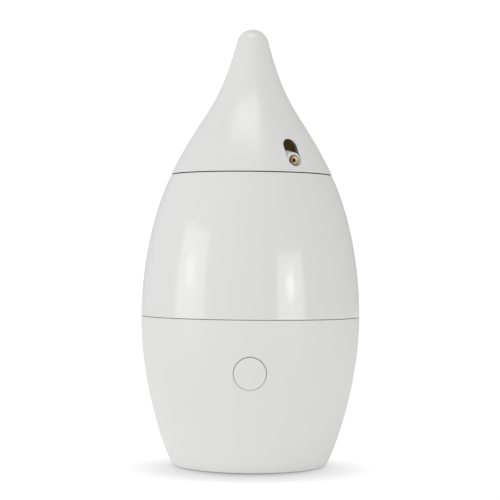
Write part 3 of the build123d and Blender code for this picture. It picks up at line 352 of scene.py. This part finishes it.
def build_moulding_group():
    """Moulded plastic: faint uneven gloss, a slow waviness and a fine grain."""
    group = new_group(
        "moulded_surface",
        [
            ("Roughness", 0.4),
            ("Unevenness", 0.03),
            ("Grain Size", 0.2),
            ("Grain Depth", 0.003),
            ("Wave Depth", 0.01),
        ],
        [("Roughness", "NodeSocketFloat"), ("Normal", "NodeSocketVector")],
    )
    nodes = group.nodes
    given, out = nodes.new("NodeGroupInput"), nodes.new("NodeGroupOutput")
    place = nodes.new("ShaderNodeTexCoord")

    patches = nodes.new("ShaderNodeTexNoise")
    patches.inputs["Scale"].default_value = 45
    patches.inputs["Detail"].default_value = 3
    link_nodes(group, place, "Object", patches, "Vector")
    centred = nodes.new("ShaderNodeMath")
    centred.operation = "SUBTRACT"
    centred.inputs[1].default_value = 0.5
    link_nodes(group, patches, "Fac", centred, 0)
    uneven = nodes.new("ShaderNodeMath")
    uneven.operation = "MULTIPLY_ADD"
    link_nodes(group, centred, 0, uneven, 0)
    link_nodes(group, given, "Unevenness", uneven, 1)
    link_nodes(group, given, "Roughness", uneven, 2)
    link_nodes(group, uneven, 0, out, "Roughness")

    fineness = nodes.new("ShaderNodeMath")
    fineness.operation = "DIVIDE"
    fineness.inputs[0].default_value = 1000
    link_nodes(group, given, "Grain Size", fineness, 1)
    grain = nodes.new("ShaderNodeTexNoise")
    grain.inputs["Detail"].default_value = 2
    link_nodes(group, place, "Object", grain, "Vector")
    link_nodes(group, fineness, 0, grain, "Scale")
    grain_height = nodes.new("ShaderNodeMath")
    grain_height.operation = "MULTIPLY"
    link_nodes(group, grain, "Fac", grain_height, 0)
    link_nodes(group, given, "Grain Depth", grain_height, 1)

    waves = nodes.new("ShaderNodeTexNoise")
    waves.inputs["Scale"].default_value = 60
    waves.inputs["Detail"].default_value = 0
    link_nodes(group, place, "Object", waves, "Vector")
    height = nodes.new("ShaderNodeMath")
    height.operation = "MULTIPLY_ADD"
    link_nodes(group, waves, "Fac", height, 0)
    link_nodes(group, given, "Wave Depth", height, 1)
    link_nodes(group, grain_height, 0, height, 2)
    bump = nodes.new("ShaderNodeBump")
    bump.inputs["Distance"].default_value = MM
    link_nodes(group, height, 0, bump, "Height")
    link_nodes(group, bump, "Normal", out, "Normal")
    return group


MOULDED = build_moulding_group()


def new_material(name, color, roughness, metallic=0.0, **shader_values):
    """A material with a Principled shader and the values it has all over."""
    material = bpy.data.materials.new(name)
    material.use_nodes = True
    shader = material.node_tree.nodes["Principled BSDF"]
    shader.inputs["Base Color"].default_value = (*color, 1)
    shader.inputs["Roughness"].default_value = roughness
    shader.inputs["Metallic"].default_value = metallic
    for socket, value in shader_values.items():
        shader.inputs[socket.replace("_", " ")].default_value = value
    return material, shader


def moulded(name, color, roughness, unevenness=0.04, grain=0.25, depth=0.004, wave=0.0, tint=0.0, **values):
    """A moulded plastic or rubber with the shared moulded surface."""
    material, shader = new_material(name, color, roughness, **values)
    tree = material.node_tree
    surface = tree.nodes.new("ShaderNodeGroup")
    surface.node_tree = MOULDED
    surface.inputs["Roughness"].default_value = roughness
    surface.inputs["Unevenness"].default_value = unevenness
    surface.inputs["Grain Size"].default_value = grain
    surface.inputs["Grain Depth"].default_value = depth
    surface.inputs["Wave Depth"].default_value = wave
    link_nodes(tree, surface, "Roughness", shader, "Roughness")
    link_nodes(tree, surface, "Normal", shader, "Normal")
    if tint:
        shade_by_noise(tree, shader, color, tint, scale=30)
    return material


def shade_by_noise(tree, shader, color, amount, scale):
    """Varies a base colour by amount over the surface."""
    place = tree.nodes.new("ShaderNodeTexCoord")
    noise = tree.nodes.new("ShaderNodeTexNoise")
    noise.inputs["Scale"].default_value = scale
    noise.inputs["Detail"].default_value = 4
    ramp = tree.nodes.new("ShaderNodeValToRGB")
    ramp.color_ramp.elements[0].position = 0.3
    ramp.color_ramp.elements[0].color = (*[c * (1 - amount) for c in color], 1)
    ramp.color_ramp.elements[1].position = 0.7
    ramp.color_ramp.elements[1].color = (*[min(1.0, c * (1 + amount)) for c in color], 1)
    link_nodes(tree, place, "Object", noise, "Vector")
    link_nodes(tree, noise, "Fac", ramp, "Fac")
    link_nodes(tree, ramp, "Color", shader, "Base Color")


def brushed(name, color, roughness, streak_scale, metallic=1.0, axis=2, **values):
    """A metal with fine streaks across one axis."""
    material, shader = new_material(name, color, roughness, metallic, **values)
    tree = material.node_tree
    place = tree.nodes.new("ShaderNodeTexCoord")
    stretch = tree.nodes.new("ShaderNodeMapping")
    scale = [streak_scale * 0.05] * 3
    scale[axis] = streak_scale
    stretch.inputs["Scale"].default_value = scale
    noise = tree.nodes.new("ShaderNodeTexNoise")
    noise.inputs["Scale"].default_value = 1
    noise.inputs["Detail"].default_value = 3
    spread = tree.nodes.new("ShaderNodeMapRange")
    spread.inputs["To Min"].default_value = roughness * 0.75
    spread.inputs["To Max"].default_value = roughness * 1.3
    bump = tree.nodes.new("ShaderNodeBump")
    bump.inputs["Distance"].default_value = 0.01 * MM
    link_nodes(tree, place, "Object", stretch, "Vector")
    link_nodes(tree, stretch, "Vector", noise, "Vector")
    link_nodes(tree, noise, "Fac", spread, "Value")
    link_nodes(tree, spread, "Result", shader, "Roughness")
    link_nodes(tree, noise, "Fac", bump, "Height")
    link_nodes(tree, bump, "Normal", shader, "Normal")
    return material


def darker_above(material, low, high, low_color, high_color):
    """Paints shade into a material's colour by height, from one colour to another."""
    tree = material.node_tree
    place = tree.nodes.new("ShaderNodeTexCoord")
    split = tree.nodes.new("ShaderNodeSeparateXYZ")
    share = tree.nodes.new("ShaderNodeMapRange")
    share.inputs["From Min"].default_value = low * MM
    share.inputs["From Max"].default_value = high * MM
    ramp = tree.nodes.new("ShaderNodeValToRGB")
    ramp.color_ramp.elements[0].color = (*low_color, 1)
    ramp.color_ramp.elements[1].color = (*high_color, 1)
    link_nodes(tree, place, "Object", split, "Vector")
    link_nodes(tree, split, "Z", share, "Value")
    link_nodes(tree, share, "Result", ramp, "Fac")
    link_nodes(tree, ramp, "Color", tree.nodes["Principled BSDF"], "Base Color")
    return material


def ringed(material, centre, axis, reach, rings):
    """Colours a turned metal by distance from its axis: rings are (distance, colour)."""
    tree = material.node_tree
    shader = tree.nodes["Principled BSDF"]
    place = tree.nodes.new("ShaderNodeTexCoord")
    offset = tree.nodes.new("ShaderNodeVectorMath")
    offset.operation = "SUBTRACT"
    offset.inputs[1].default_value = centre
    across = tree.nodes.new("ShaderNodeVectorMath")
    across.operation = "CROSS_PRODUCT"
    across.inputs[1].default_value = axis
    length = tree.nodes.new("ShaderNodeVectorMath")
    length.operation = "LENGTH"
    share = tree.nodes.new("ShaderNodeMapRange")
    share.inputs["From Max"].default_value = reach * MM
    ramp = tree.nodes.new("ShaderNodeValToRGB")
    stops = ramp.color_ramp.elements
    while len(stops) < len(rings):
        stops.new(0.5)
    for stop, (distance, color) in zip(stops, rings):
        stop.position = distance / reach
        stop.color = (*color, 1)
    link_nodes(tree, place, "Object", offset, 0)
    link_nodes(tree, offset, "Vector", across, 0)
    link_nodes(tree, across, "Vector", length, 0)
    link_nodes(tree, length, "Value", share, "Value")
    link_nodes(tree, share, "Result", ramp, "Fac")
    link_nodes(tree, ramp, "Color", shader, "Base Color")
    return material


SATIN_WHITE = moulded(
    "satin_white", (0.78, 0.78, 0.77), 0.38, grain=0.18, depth=0.0025, Specular_IOR_Level=0.45
)
POLISHED_WHITE = moulded(
    "polished_white",
    (0.77, 0.77, 0.76),
    0.26,
    unevenness=0.03,
    grain=0.18,
    depth=0.001,
    wave=0.003,
    Specular_IOR_Level=0.6,
)
GLOSS_WHITE = moulded(
    "gloss_white",
    (0.775, 0.775, 0.765),
    0.13,
    unevenness=0.03,
    depth=0.0,
    wave=0.004,
    Specular_IOR_Level=0.75,
)
INNER_WHITE = moulded("inner_white", (0.72, 0.72, 0.71), 0.45, grain=0.4, depth=0.006, tint=0.02)
# Ivory plastic for the inside of the cover, with a faint orange glow: painted light that brightens its deep
# inside.
INNER_IVORY_PAINTED_GLOW = moulded(
    "inner_ivory_painted_glow",
    (0.62, 0.55, 0.40),
    0.5,
    grain=0.4,
    depth=0.006,
    tint=0.03,
    Emission_Color=(1.0, 0.72, 0.32, 1.0),
    Emission_Strength=0.02,
)
RUBBER = moulded("dark_rubber", (0.035, 0.035, 0.037), 0.62, grain=0.3, depth=0.01, tint=0.15)
STEEL = brushed("zinc_steel", (0.60, 0.60, 0.62), 0.32, 4000)
CORE_STEEL = brushed("core_steel", (0.26, 0.26, 0.27), 0.42, 2500)
BRASS = brushed("turned_brass", (0.72, 0.50, 0.22), 0.24, 9000)
BOARD_GREEN = moulded("solder_mask", (0.02, 0.16, 0.06), 0.3, grain=0.8, depth=0.004, tint=0.2)
BLACK_PLASTIC = moulded("black_plastic", (0.018, 0.018, 0.02), 0.42, grain=0.25, depth=0.008, tint=0.1)
GREY_PLASTIC = moulded("grey_plastic", (0.36, 0.37, 0.38), 0.42, grain=0.3, depth=0.006, tint=0.03)
SILICONE = moulded(
    "silicone_hose",
    (0.70, 0.70, 0.67),
    0.35,
    grain=0.5,
    depth=0.003,
    Subsurface_Weight=0.2,
    Subsurface_Scale=0.003,
)
WINDING = brushed("copper_winding", (0.50, 0.20, 0.07), 0.35, 2600, metallic=0.7, axis=1)
FELT = moulded("filter_felt", (0.16, 0.17, 0.18), 0.95, grain=0.35, depth=0.12, tint=0.25)

# Painted shade on the port's throat walls: light grey low down, darker grey-brown towards the top.
THROAT_PAINTED_SHADE = darker_above(
    moulded("throat_painted_shade", (0.3, 0.27, 0.27), 0.4, grain=0.3, depth=0.004),
    PORT_MIDDLE - 7,
    PORT_MIDDLE + 1,
    (0.66, 0.65, 0.66),
    (0.21, 0.175, 0.18),
)

# Painted light and shade on the nozzle's brass, in rings round its axis: near-black shade in and round the
# orifice, a bright cream painted highlight on the cone, then dark brown across the face and near-black on
# the rounded edge.
BRASS_PAINTED_LIGHT_RINGS = ringed(
    brushed("brass_painted_light_rings", (0.72, 0.50, 0.22), 0.3, 9000),
    NOZZLE_FACE,
    PORT_OUTWARD,
    3.6,
    [
        (0.0, (0.006, 0.003, 0.002)),
        (1.15, (0.025, 0.010, 0.006)),
        (1.4, (0.72, 0.46, 0.28)),
        (2.3, (0.97, 0.78, 0.55)),
        (2.65, (0.22, 0.15, 0.07)),
        (3.05, (0.34, 0.25, 0.12)),
        (3.35, (0.07, 0.035, 0.02)),
    ],
)

FINISH_OF_SLOT = {
    "satin_white": SATIN_WHITE,
    "gloss_white": GLOSS_WHITE,
    "inner_white": INNER_WHITE,
    "dark_rubber": RUBBER,
    "steel": STEEL,
    "core_steel": CORE_STEEL,
    "brass": BRASS,
    "circuit_board": BOARD_GREEN,
    "black_plastic": BLACK_PLASTIC,
    "copper_winding": WINDING,
    "grey_plastic": GREY_PLASTIC,
    "silicone_hose": SILICONE,
    "filter_felt": FELT,
}
SLOT_OF_NODE = {part["node"]: part["material_slot"] for part in frame["record"]["subparts"]}


def finish_nodes():
    """Gives every CAD node the finish of its slot."""
    for name, node in NODES.items():
        node.data.materials.clear()
        node.data.materials.append(FINISH_OF_SLOT[SLOT_OF_NODE[name]])


# ---------------------------------------------------------------- cutters that follow the body
def wrapped_tool(outline, curve, middle, bearing=0.0, stretch=0.0, steps=SMALL_ROUND_STEPS):
    """A shape turned round a horizontal axis and wrapped on the body.

    The outline is (distance from that axis, depth below the body's surface). The stretch
    moves the upper and lower halves apart.
    """
    bm = turned(outline, steps, closed=False)
    across = Vector((math.cos(bearing), math.sin(bearing), 0))
    outward = Vector((math.sin(bearing), -math.cos(bearing), 0))
    for vert in bm.verts:
        side, up, depth = vert.co / MM
        if abs(up) > 1e-5:
            up += math.copysign(stretch / 2, up)
        height = middle + up
        reach = math.sqrt(max(curve.radius(height) ** 2 - side * side, 0.0)) - depth
        vert.co = (across * side + outward * reach + Vector((0, 0, height))) * MM
    face_outwards(bm)
    return bm


def hole_outline(radius, edge, depth, ledge=None, rise=4.0):
    """The outline of a hole's cutter with a flared mouth that rounds the hole's edge.

    A ledge (depth, width) narrows the hole below that depth.
    """
    points = [(0.0, depth), (radius, depth), (radius, edge)]
    if ledge:
        points[1:2] = [(radius - ledge[1], depth), (radius - ledge[1], ledge[0]), (radius, ledge[0])]
    for step in range(1, 6):
        turn = math.radians(step * 15)
        points.append((radius + edge * (1 - math.cos(turn)), edge * (1 - math.sin(turn))))
    mouth = points[-1][0] + HOLE_FLARE[0]
    points += [(mouth, points[-1][1] - HOLE_FLARE[1]), (mouth, -rise), (0.0, -rise)]
    return points


def paint_throat_shade(piece, outer, material):
    """Gives the walls of the port, behind its rounded edge, their own material, which carries painted
    shade.
    """
    mesh = piece.data
    mesh.materials.append(material)
    slot = len(mesh.materials) - 1
    across = Vector((math.cos(PORT_BEARING), math.sin(PORT_BEARING), 0))
    straight = (PORT_HEIGHT - PORT_WIDTH) / 2

    def on_wall(place):
        up = place.z - PORT_MIDDLE
        past = max(abs(up) - straight, 0)
        away = math.hypot(place.dot(across), past)
        deep = outer.radius(place.z) - math.hypot(place.x, place.y) > PORT_EDGE + 0.3
        return place.dot(PORT_OUTWARD) > 0 and abs(away - PORT_WIDTH / 2) < 0.05 and deep

    for face in mesh.polygons:
        centre = face.center / MM
        if on_wall(centre):
            face.material_index = slot


def paint_inside(piece, inner, material, slack=0.03):
    """Gives the faces on a shell's inner turned surface their own material."""
    mesh = piece.data
    mesh.materials.append(material)
    slot = len(mesh.materials) - 1
    top = inner.points[3][1]

    def inside(place):
        away = math.hypot(place.x, place.y)
        if place.z > top:
            return math.hypot(away, place.z - FULL_HEIGHT + TIP_RADIUS) < TIP_RADIUS - COVER_WALL + slack
        return abs(away - inner.radius(place.z)) < slack

    for face in mesh.polygons:
        if all(inside(mesh.vertices[index].co / MM) for index in face.vertices):
            face.material_index = slot


# ---------------------------------------------------------------- shells
def make_base_housing():
    outer, inner = base_curve(), base_curve(BASE_WALL)
    inner_foot = (inner.points[0][0], FOOT_LIFT)
    outline = outer.sampled(56) + list(reversed(inner.sampled(28))) + [inner_foot]
    bm = turned(outline)
    soften(bm, [outer.points[0], outer.points[3], inner.points[3]], EDGE_ROUND)
    housing = make_piece("base_housing", bm, SATIN_WHITE)
    button_hole = wrapped_tool(
        hole_outline(BUTTON_RADIUS + BUTTON_GAP, BUTTON_EDGE, HOLE_DEPTH, BUTTON_LEDGE),
        outer,
        BUTTON_HEIGHT,
    )
    jack_hole = wrapped_tool(
        hole_outline(JACK_HOLE_RADIUS, JACK_EDGE, HOLE_DEPTH),
        outer,
        JACK_HEIGHT,
        bearing=math.pi,
        steps=JACK_ROUND_STEPS,
    )
    carve(
        housing,
        [
            (make_piece("button_hole", button_hole, None), "DIFFERENCE"),
            (make_piece("jack_hole", jack_hole, None), "DIFFERENCE"),
        ],
    )
    true_normals(housing, outer)
    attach(housing, "base")
    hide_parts("base_shell")


def make_tank_housing():
    outer = tank_curve()
    inner = WallCurve(
        (BELLY_RADIUS - TANK_WALL, FLOOR_TOP),
        0,
        TANK_INNER_PULL,
        (MOUTH_RADIUS, TANK_TOP - MOUTH_DEPTH),
        -SHOULDER_LEAN,
        TANK_HIGH_PULL,
    )
    rebate = BELLY_RADIUS - TANK_WALL + FLOOR_REBATE
    outline = outer.sampled(64) + [(MOUTH_RADIUS, TANK_TOP)]
    outline += list(reversed(inner.sampled(40)))
    outline += [(rebate, FLOOR_TOP), (rebate, TANK_BOTTOM)]
    bm = turned(outline)
    soften(bm, [outer.points[0], outer.points[3], (MOUTH_RADIUS, TANK_TOP)], EDGE_ROUND)
    housing = make_piece("tank_housing", bm, GLOSS_WHITE, "tank", ["tank_shell"])
    true_normals(housing, outer)


def make_cover_housing():
    outer, inner = cover_curve(), cover_curve(COVER_WALL)
    start = inner.parameter(COVER_BOTTOM)
    outline = outer.sampled(64) + tip_arc(0, 14)[1:-1] + [(0, FULL_HEIGHT)]
    inside = inner.sampled(40, start) + tip_arc(COVER_WALL, 8)[1:-1] + [(0, FULL_HEIGHT - COVER_WALL)]
    bm = turned(outline + list(reversed(inside)))
    soften(bm, [outer.points[0]], EDGE_ROUND)
    housing = make_piece("cover_housing", bm, POLISHED_WHITE)
    stretch = PORT_HEIGHT - PORT_WIDTH
    half = PORT_WIDTH / 2
    lip_radius = half + PORT_LIP_WALL
    lip = wrapped_tool(
        [(0, COVER_WALL / 2), (lip_radius, COVER_WALL / 2), (lip_radius, PORT_LIP), (0, PORT_LIP)],
        outer,
        PORT_MIDDLE,
        PORT_BEARING,
        stretch,
    )
    port = wrapped_tool(
        hole_outline(half, PORT_EDGE, PORT_DEPTH), outer, PORT_MIDDLE, PORT_BEARING, stretch
    )
    carve(
        housing,
        [
            (make_piece("port_lip", lip, None), "UNION"),
            (make_piece("port_hole", port, None), "DIFFERENCE"),
        ],
    )
    true_normals(housing, outer)
    # The inner faces get the ivory with its faint painted glow.
    paint_inside(housing, inner, INNER_IVORY_PAINTED_GLOW)
    # The throat walls get painted shade, darker towards the top.
    paint_throat_shade(housing, outer, THROAT_PAINTED_SHADE)
    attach(housing, "cover")
    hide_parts("cover_shell")


def make_button_face():
    """The round button: a crowned disc that carries on the base's surface, and its skirt."""
    curve = base_curve()
    flat = BUTTON_RADIUS - BUTTON_EDGE
    outline = [(flat * step / 10, 0.0) for step in range(11)]
    for step in range(1, 7):
        turn = math.radians(step * 15)
        outline.append((flat + BUTTON_EDGE * math.sin(turn), BUTTON_EDGE * (1 - math.cos(turn))))
    skirt_bore = BUTTON_RADIUS - BUTTON_SKIRT
    outline += [
        (BUTTON_RADIUS, BUTTON_DEPTH),
        (skirt_bore, BUTTON_DEPTH),
        (skirt_bore, BUTTON_THICKNESS),
        (0, BUTTON_THICKNESS),
    ]
    bm = wrapped_tool(outline, curve, BUTTON_HEIGHT - BUTTON_SAG)
    return make_piece("button_face", bm, SATIN_WHITE, "button", ["button_cap"])


# ---------------------------------------------------------------- nozzle
def set_on_axis(bm, centre, outward):
    """Stands a turned shape along a horizontal axis: its heights become distances along it."""
    across = Vector((-outward.y, outward.x, 0))
    for vert in bm.verts:
        side, up, along = vert.co
        vert.co = centre + across * side + Vector((0, 0, up)) + outward * along
    face_outwards(bm)
    return bm


def make_nozzle_tip():
    """The turned brass cap of the nozzle: rounded edges, a cone and the orifice."""
    outline = [
        (ORIFICE_RADIUS, NOZZLE_PLUG_END),
        (ORIFICE_RADIUS, -CONE_DEPTH - CONE_EDGE),
        (ORIFICE_RADIUS + CONE_EDGE, -CONE_DEPTH),
        (CONE_RADIUS, -CONE_RIM_DEPTH),
        (CONE_RADIUS + CONE_EDGE, 0.0),
        (NOZZLE_RADIUS - NOZZLE_EDGE, 0.0),
    ]
    for step in range(1, 6):
        turn = math.radians(step * 15)
        outline.append(
            (NOZZLE_RADIUS - NOZZLE_EDGE * (1 - math.sin(turn)), -NOZZLE_EDGE * (1 - math.cos(turn)))
        )
    outline += [
        (NOZZLE_RADIUS, -NOZZLE_SHOULDER),
        (NOZZLE_RADIUS, -NOZZLE_CAP_LENGTH),
        (NOZZLE_PLUG_RADIUS, -NOZZLE_CAP_LENGTH),
        (NOZZLE_PLUG_RADIUS, NOZZLE_PLUG_END),
    ]
    bm = set_on_axis(turned(outline, SMALL_ROUND_STEPS), NOZZLE_FACE, PORT_OUTWARD)
    # The cap gets the brass with rings of painted light and shade.
    return make_piece("nozzle_tip", bm, BRASS_PAINTED_LIGHT_RINGS, "cover", ["nozzle_cap"])


# ---------------------------------------------------------------- stage, light and camera
FLOOR_SIZE = 6.0
FLOOR_GLOW = 0.17          # light that the floor gives back to the object
FLOOR_SEEN = 1.04          # brightness of the floor in the picture
SHADOW_REACH = 0.055       # how far from the object the contact shadow reaches
SHADOW_LEAN = 0.9          # how much further it reaches to the front

# Name, bearing, rise, distance, height aimed at, size and radiance.
SOFTBOXES = (
    ("left_softbox", -65, 0, 1.2, 0.28, (0.74, 0.76), 1.25),
    ("left_lamp", -66, 0, 1.19, 0.35, (0.22, 0.18), 1.4),
    ("right_softbox", 41.5, 0, 1.2, 0.205, (0.62, 0.62), 1.6),
    ("right_lamp", 41, 0, 1.19, 0.28, (0.16, 0.16), 3.0),
    ("top_softbox", -24, 73, 1.6, 0.2, (1.1, 0.5), 3.0),
)
ROOM_LEFT = (0.80, 0.805, 0.815)
ROOM_MIDDLE = (0.53, 0.53, 0.53)
ROOM_RIGHT = (0.55, 0.55, 0.54)
BACKDROP = 1.1

CAMERA_LENS = 115.85
CAMERA_PLACE = (0, -1.112, 0.1428)
CAMERA_AIM = (-0.0007, 0, 0.1476)
CAMERA_ROLL = math.radians(0.50)


def make_floor():
    """A white floor that lights the object and is seen as plain white with a soft contact shadow."""
    bm = bmesh.new()
    bmesh.ops.create_grid(bm, x_segments=1, y_segments=1, size=FLOOR_SIZE)
    floor = make_piece("floor", bm, None)
    material, shader = new_material(
        "floor_white",
        (0.9, 0.9, 0.9),
        0.8,
        Specular_IOR_Level=0.0,
        Emission_Color=(1, 1, 1, 1),
        Emission_Strength=FLOOR_GLOW,
    )
    tree = material.node_tree
    closeness = tree.nodes.new("ShaderNodeAmbientOcclusion")
    closeness.inputs["Distance"].default_value = SHADOW_REACH
    lean = tree.nodes.new("ShaderNodeCombineXYZ")
    lean.inputs["Y"].default_value = SHADOW_LEAN
    lean.inputs["Z"].default_value = 1
    link_nodes(tree, lean, "Vector", closeness, "Normal")
    closeness.samples = 32
    shade = tree.nodes.new("ShaderNodeValToRGB")
    shade.color_ramp.elements[0].color = (0.06, 0.06, 0.06, 1)
    shade.color_ramp.elements[1].position = 0.84
    shade.color_ramp.elements[1].color = (1, 1, 1, 1)
    middle = shade.color_ramp.elements.new(0.42)
    middle.color = (0.72, 0.72, 0.72, 1)
    seen = tree.nodes.new("ShaderNodeEmission")
    seen.inputs["Strength"].default_value = FLOOR_SEEN
    path = tree.nodes.new("ShaderNodeLightPath")
    mix = tree.nodes.new("ShaderNodeMixShader")
    link_nodes(tree, closeness, "AO", shade, "Fac")
    link_nodes(tree, shade, "Color", seen, "Color")
    link_nodes(tree, path, "Is Camera Ray", mix, 0)
    tree.links.new(shader.outputs[0], mix.inputs[1])
    tree.links.new(seen.outputs[0], mix.inputs[2])
    # From below, the floor is see-through.
    side = tree.nodes.new("ShaderNodeNewGeometry")
    clear = tree.nodes.new("ShaderNodeBsdfTransparent")
    either = tree.nodes.new("ShaderNodeMixShader")
    link_nodes(tree, side, "Backfacing", either, 0)
    tree.links.new(mix.outputs[0], either.inputs[1])
    tree.links.new(clear.outputs[0], either.inputs[2])
    tree.links.new(either.outputs[0], tree.nodes["Material Output"].inputs["Surface"])
    floor.data.materials.append(material)


def make_softbox(name, bearing, rise, distance, aim, size, radiance):
    """A rectangular area light at a bearing round the body and a rise above its aim."""
    light = bpy.data.lights.new(name, "AREA")
    light.shape = "RECTANGLE"
    light.size, light.size_y = size
    light.energy = radiance * math.pi * size[0] * size[1]
    box = bpy.data.objects.new(name, light)
    turn, lift = math.radians(bearing), math.radians(rise)
    away = distance * math.cos(lift)
    box.location = (away * math.sin(turn), -away * math.cos(turn), aim + distance * math.sin(lift))
    box.rotation_euler = (math.pi / 2 - lift, 0, turn)
    bpy.context.scene.collection.objects.link(box)


def make_world(left, middle, right, backdrop):
    """A white room, brighter on the left than on the right, before a plain backdrop."""
    world = bpy.data.worlds.new("studio")
    world.use_nodes = True
    tree = world.node_tree
    place = tree.nodes.new("ShaderNodeTexCoord")
    split = tree.nodes.new("ShaderNodeSeparateXYZ")
    across = tree.nodes.new("ShaderNodeMapRange")
    across.inputs["From Min"].default_value = -1
    walls = tree.nodes.new("ShaderNodeValToRGB")
    walls.color_ramp.elements.new(0.5)
    for stop, color in zip(walls.color_ramp.elements, (left, middle, right)):
        stop.color = (*color, 1)
    link_nodes(tree, place, "Generated", split, "Vector")
    link_nodes(tree, split, "X", across, "Value")
    link_nodes(tree, across, "Result", walls, "Fac")
    room = tree.nodes["Background"]
    link_nodes(tree, walls, "Color", room, "Color")
    behind = tree.nodes.new("ShaderNodeBackground")
    behind.inputs["Color"].default_value = (1, 1, 1, 1)
    behind.inputs["Strength"].default_value = backdrop
    path = tree.nodes.new("ShaderNodeLightPath")
    mix = tree.nodes.new("ShaderNodeMixShader")
    link_nodes(tree, path, "Is Camera Ray", mix, 0)
    tree.links.new(room.outputs[0], mix.inputs[1])
    tree.links.new(behind.outputs[0], mix.inputs[2])
    tree.links.new(mix.outputs[0], tree.nodes["World Output"].inputs["Surface"])
    bpy.context.scene.world = world


def make_camera():
    camera = bpy.data.cameras.new("camera")
    camera.sensor_width = 36
    camera.lens = CAMERA_LENS
    camera.clip_end = 50
    eye = bpy.data.objects.new("camera", camera)
    eye.location = CAMERA_PLACE
    aim = Vector(CAMERA_AIM) - eye.location
    roll = Matrix.Rotation(CAMERA_ROLL, 4, "Z")
    eye.rotation_euler = (aim.to_track_quat("-Z", "Y").to_matrix().to_4x4() @ roll).to_euler()
    bpy.context.scene.collection.objects.link(eye)
    bpy.context.scene.camera = eye


finish_nodes()
make_base_housing()
make_tank_housing()
make_cover_housing()
make_button_face()
make_nozzle_tip()
make_floor()
for softbox in SOFTBOXES:
    make_softbox(*softbox)
make_world(ROOM_LEFT, ROOM_MIDDLE, ROOM_RIGHT, BACKDROP)
make_camera()
bpy.context.scene.view_settings.view_transform = "Standard"
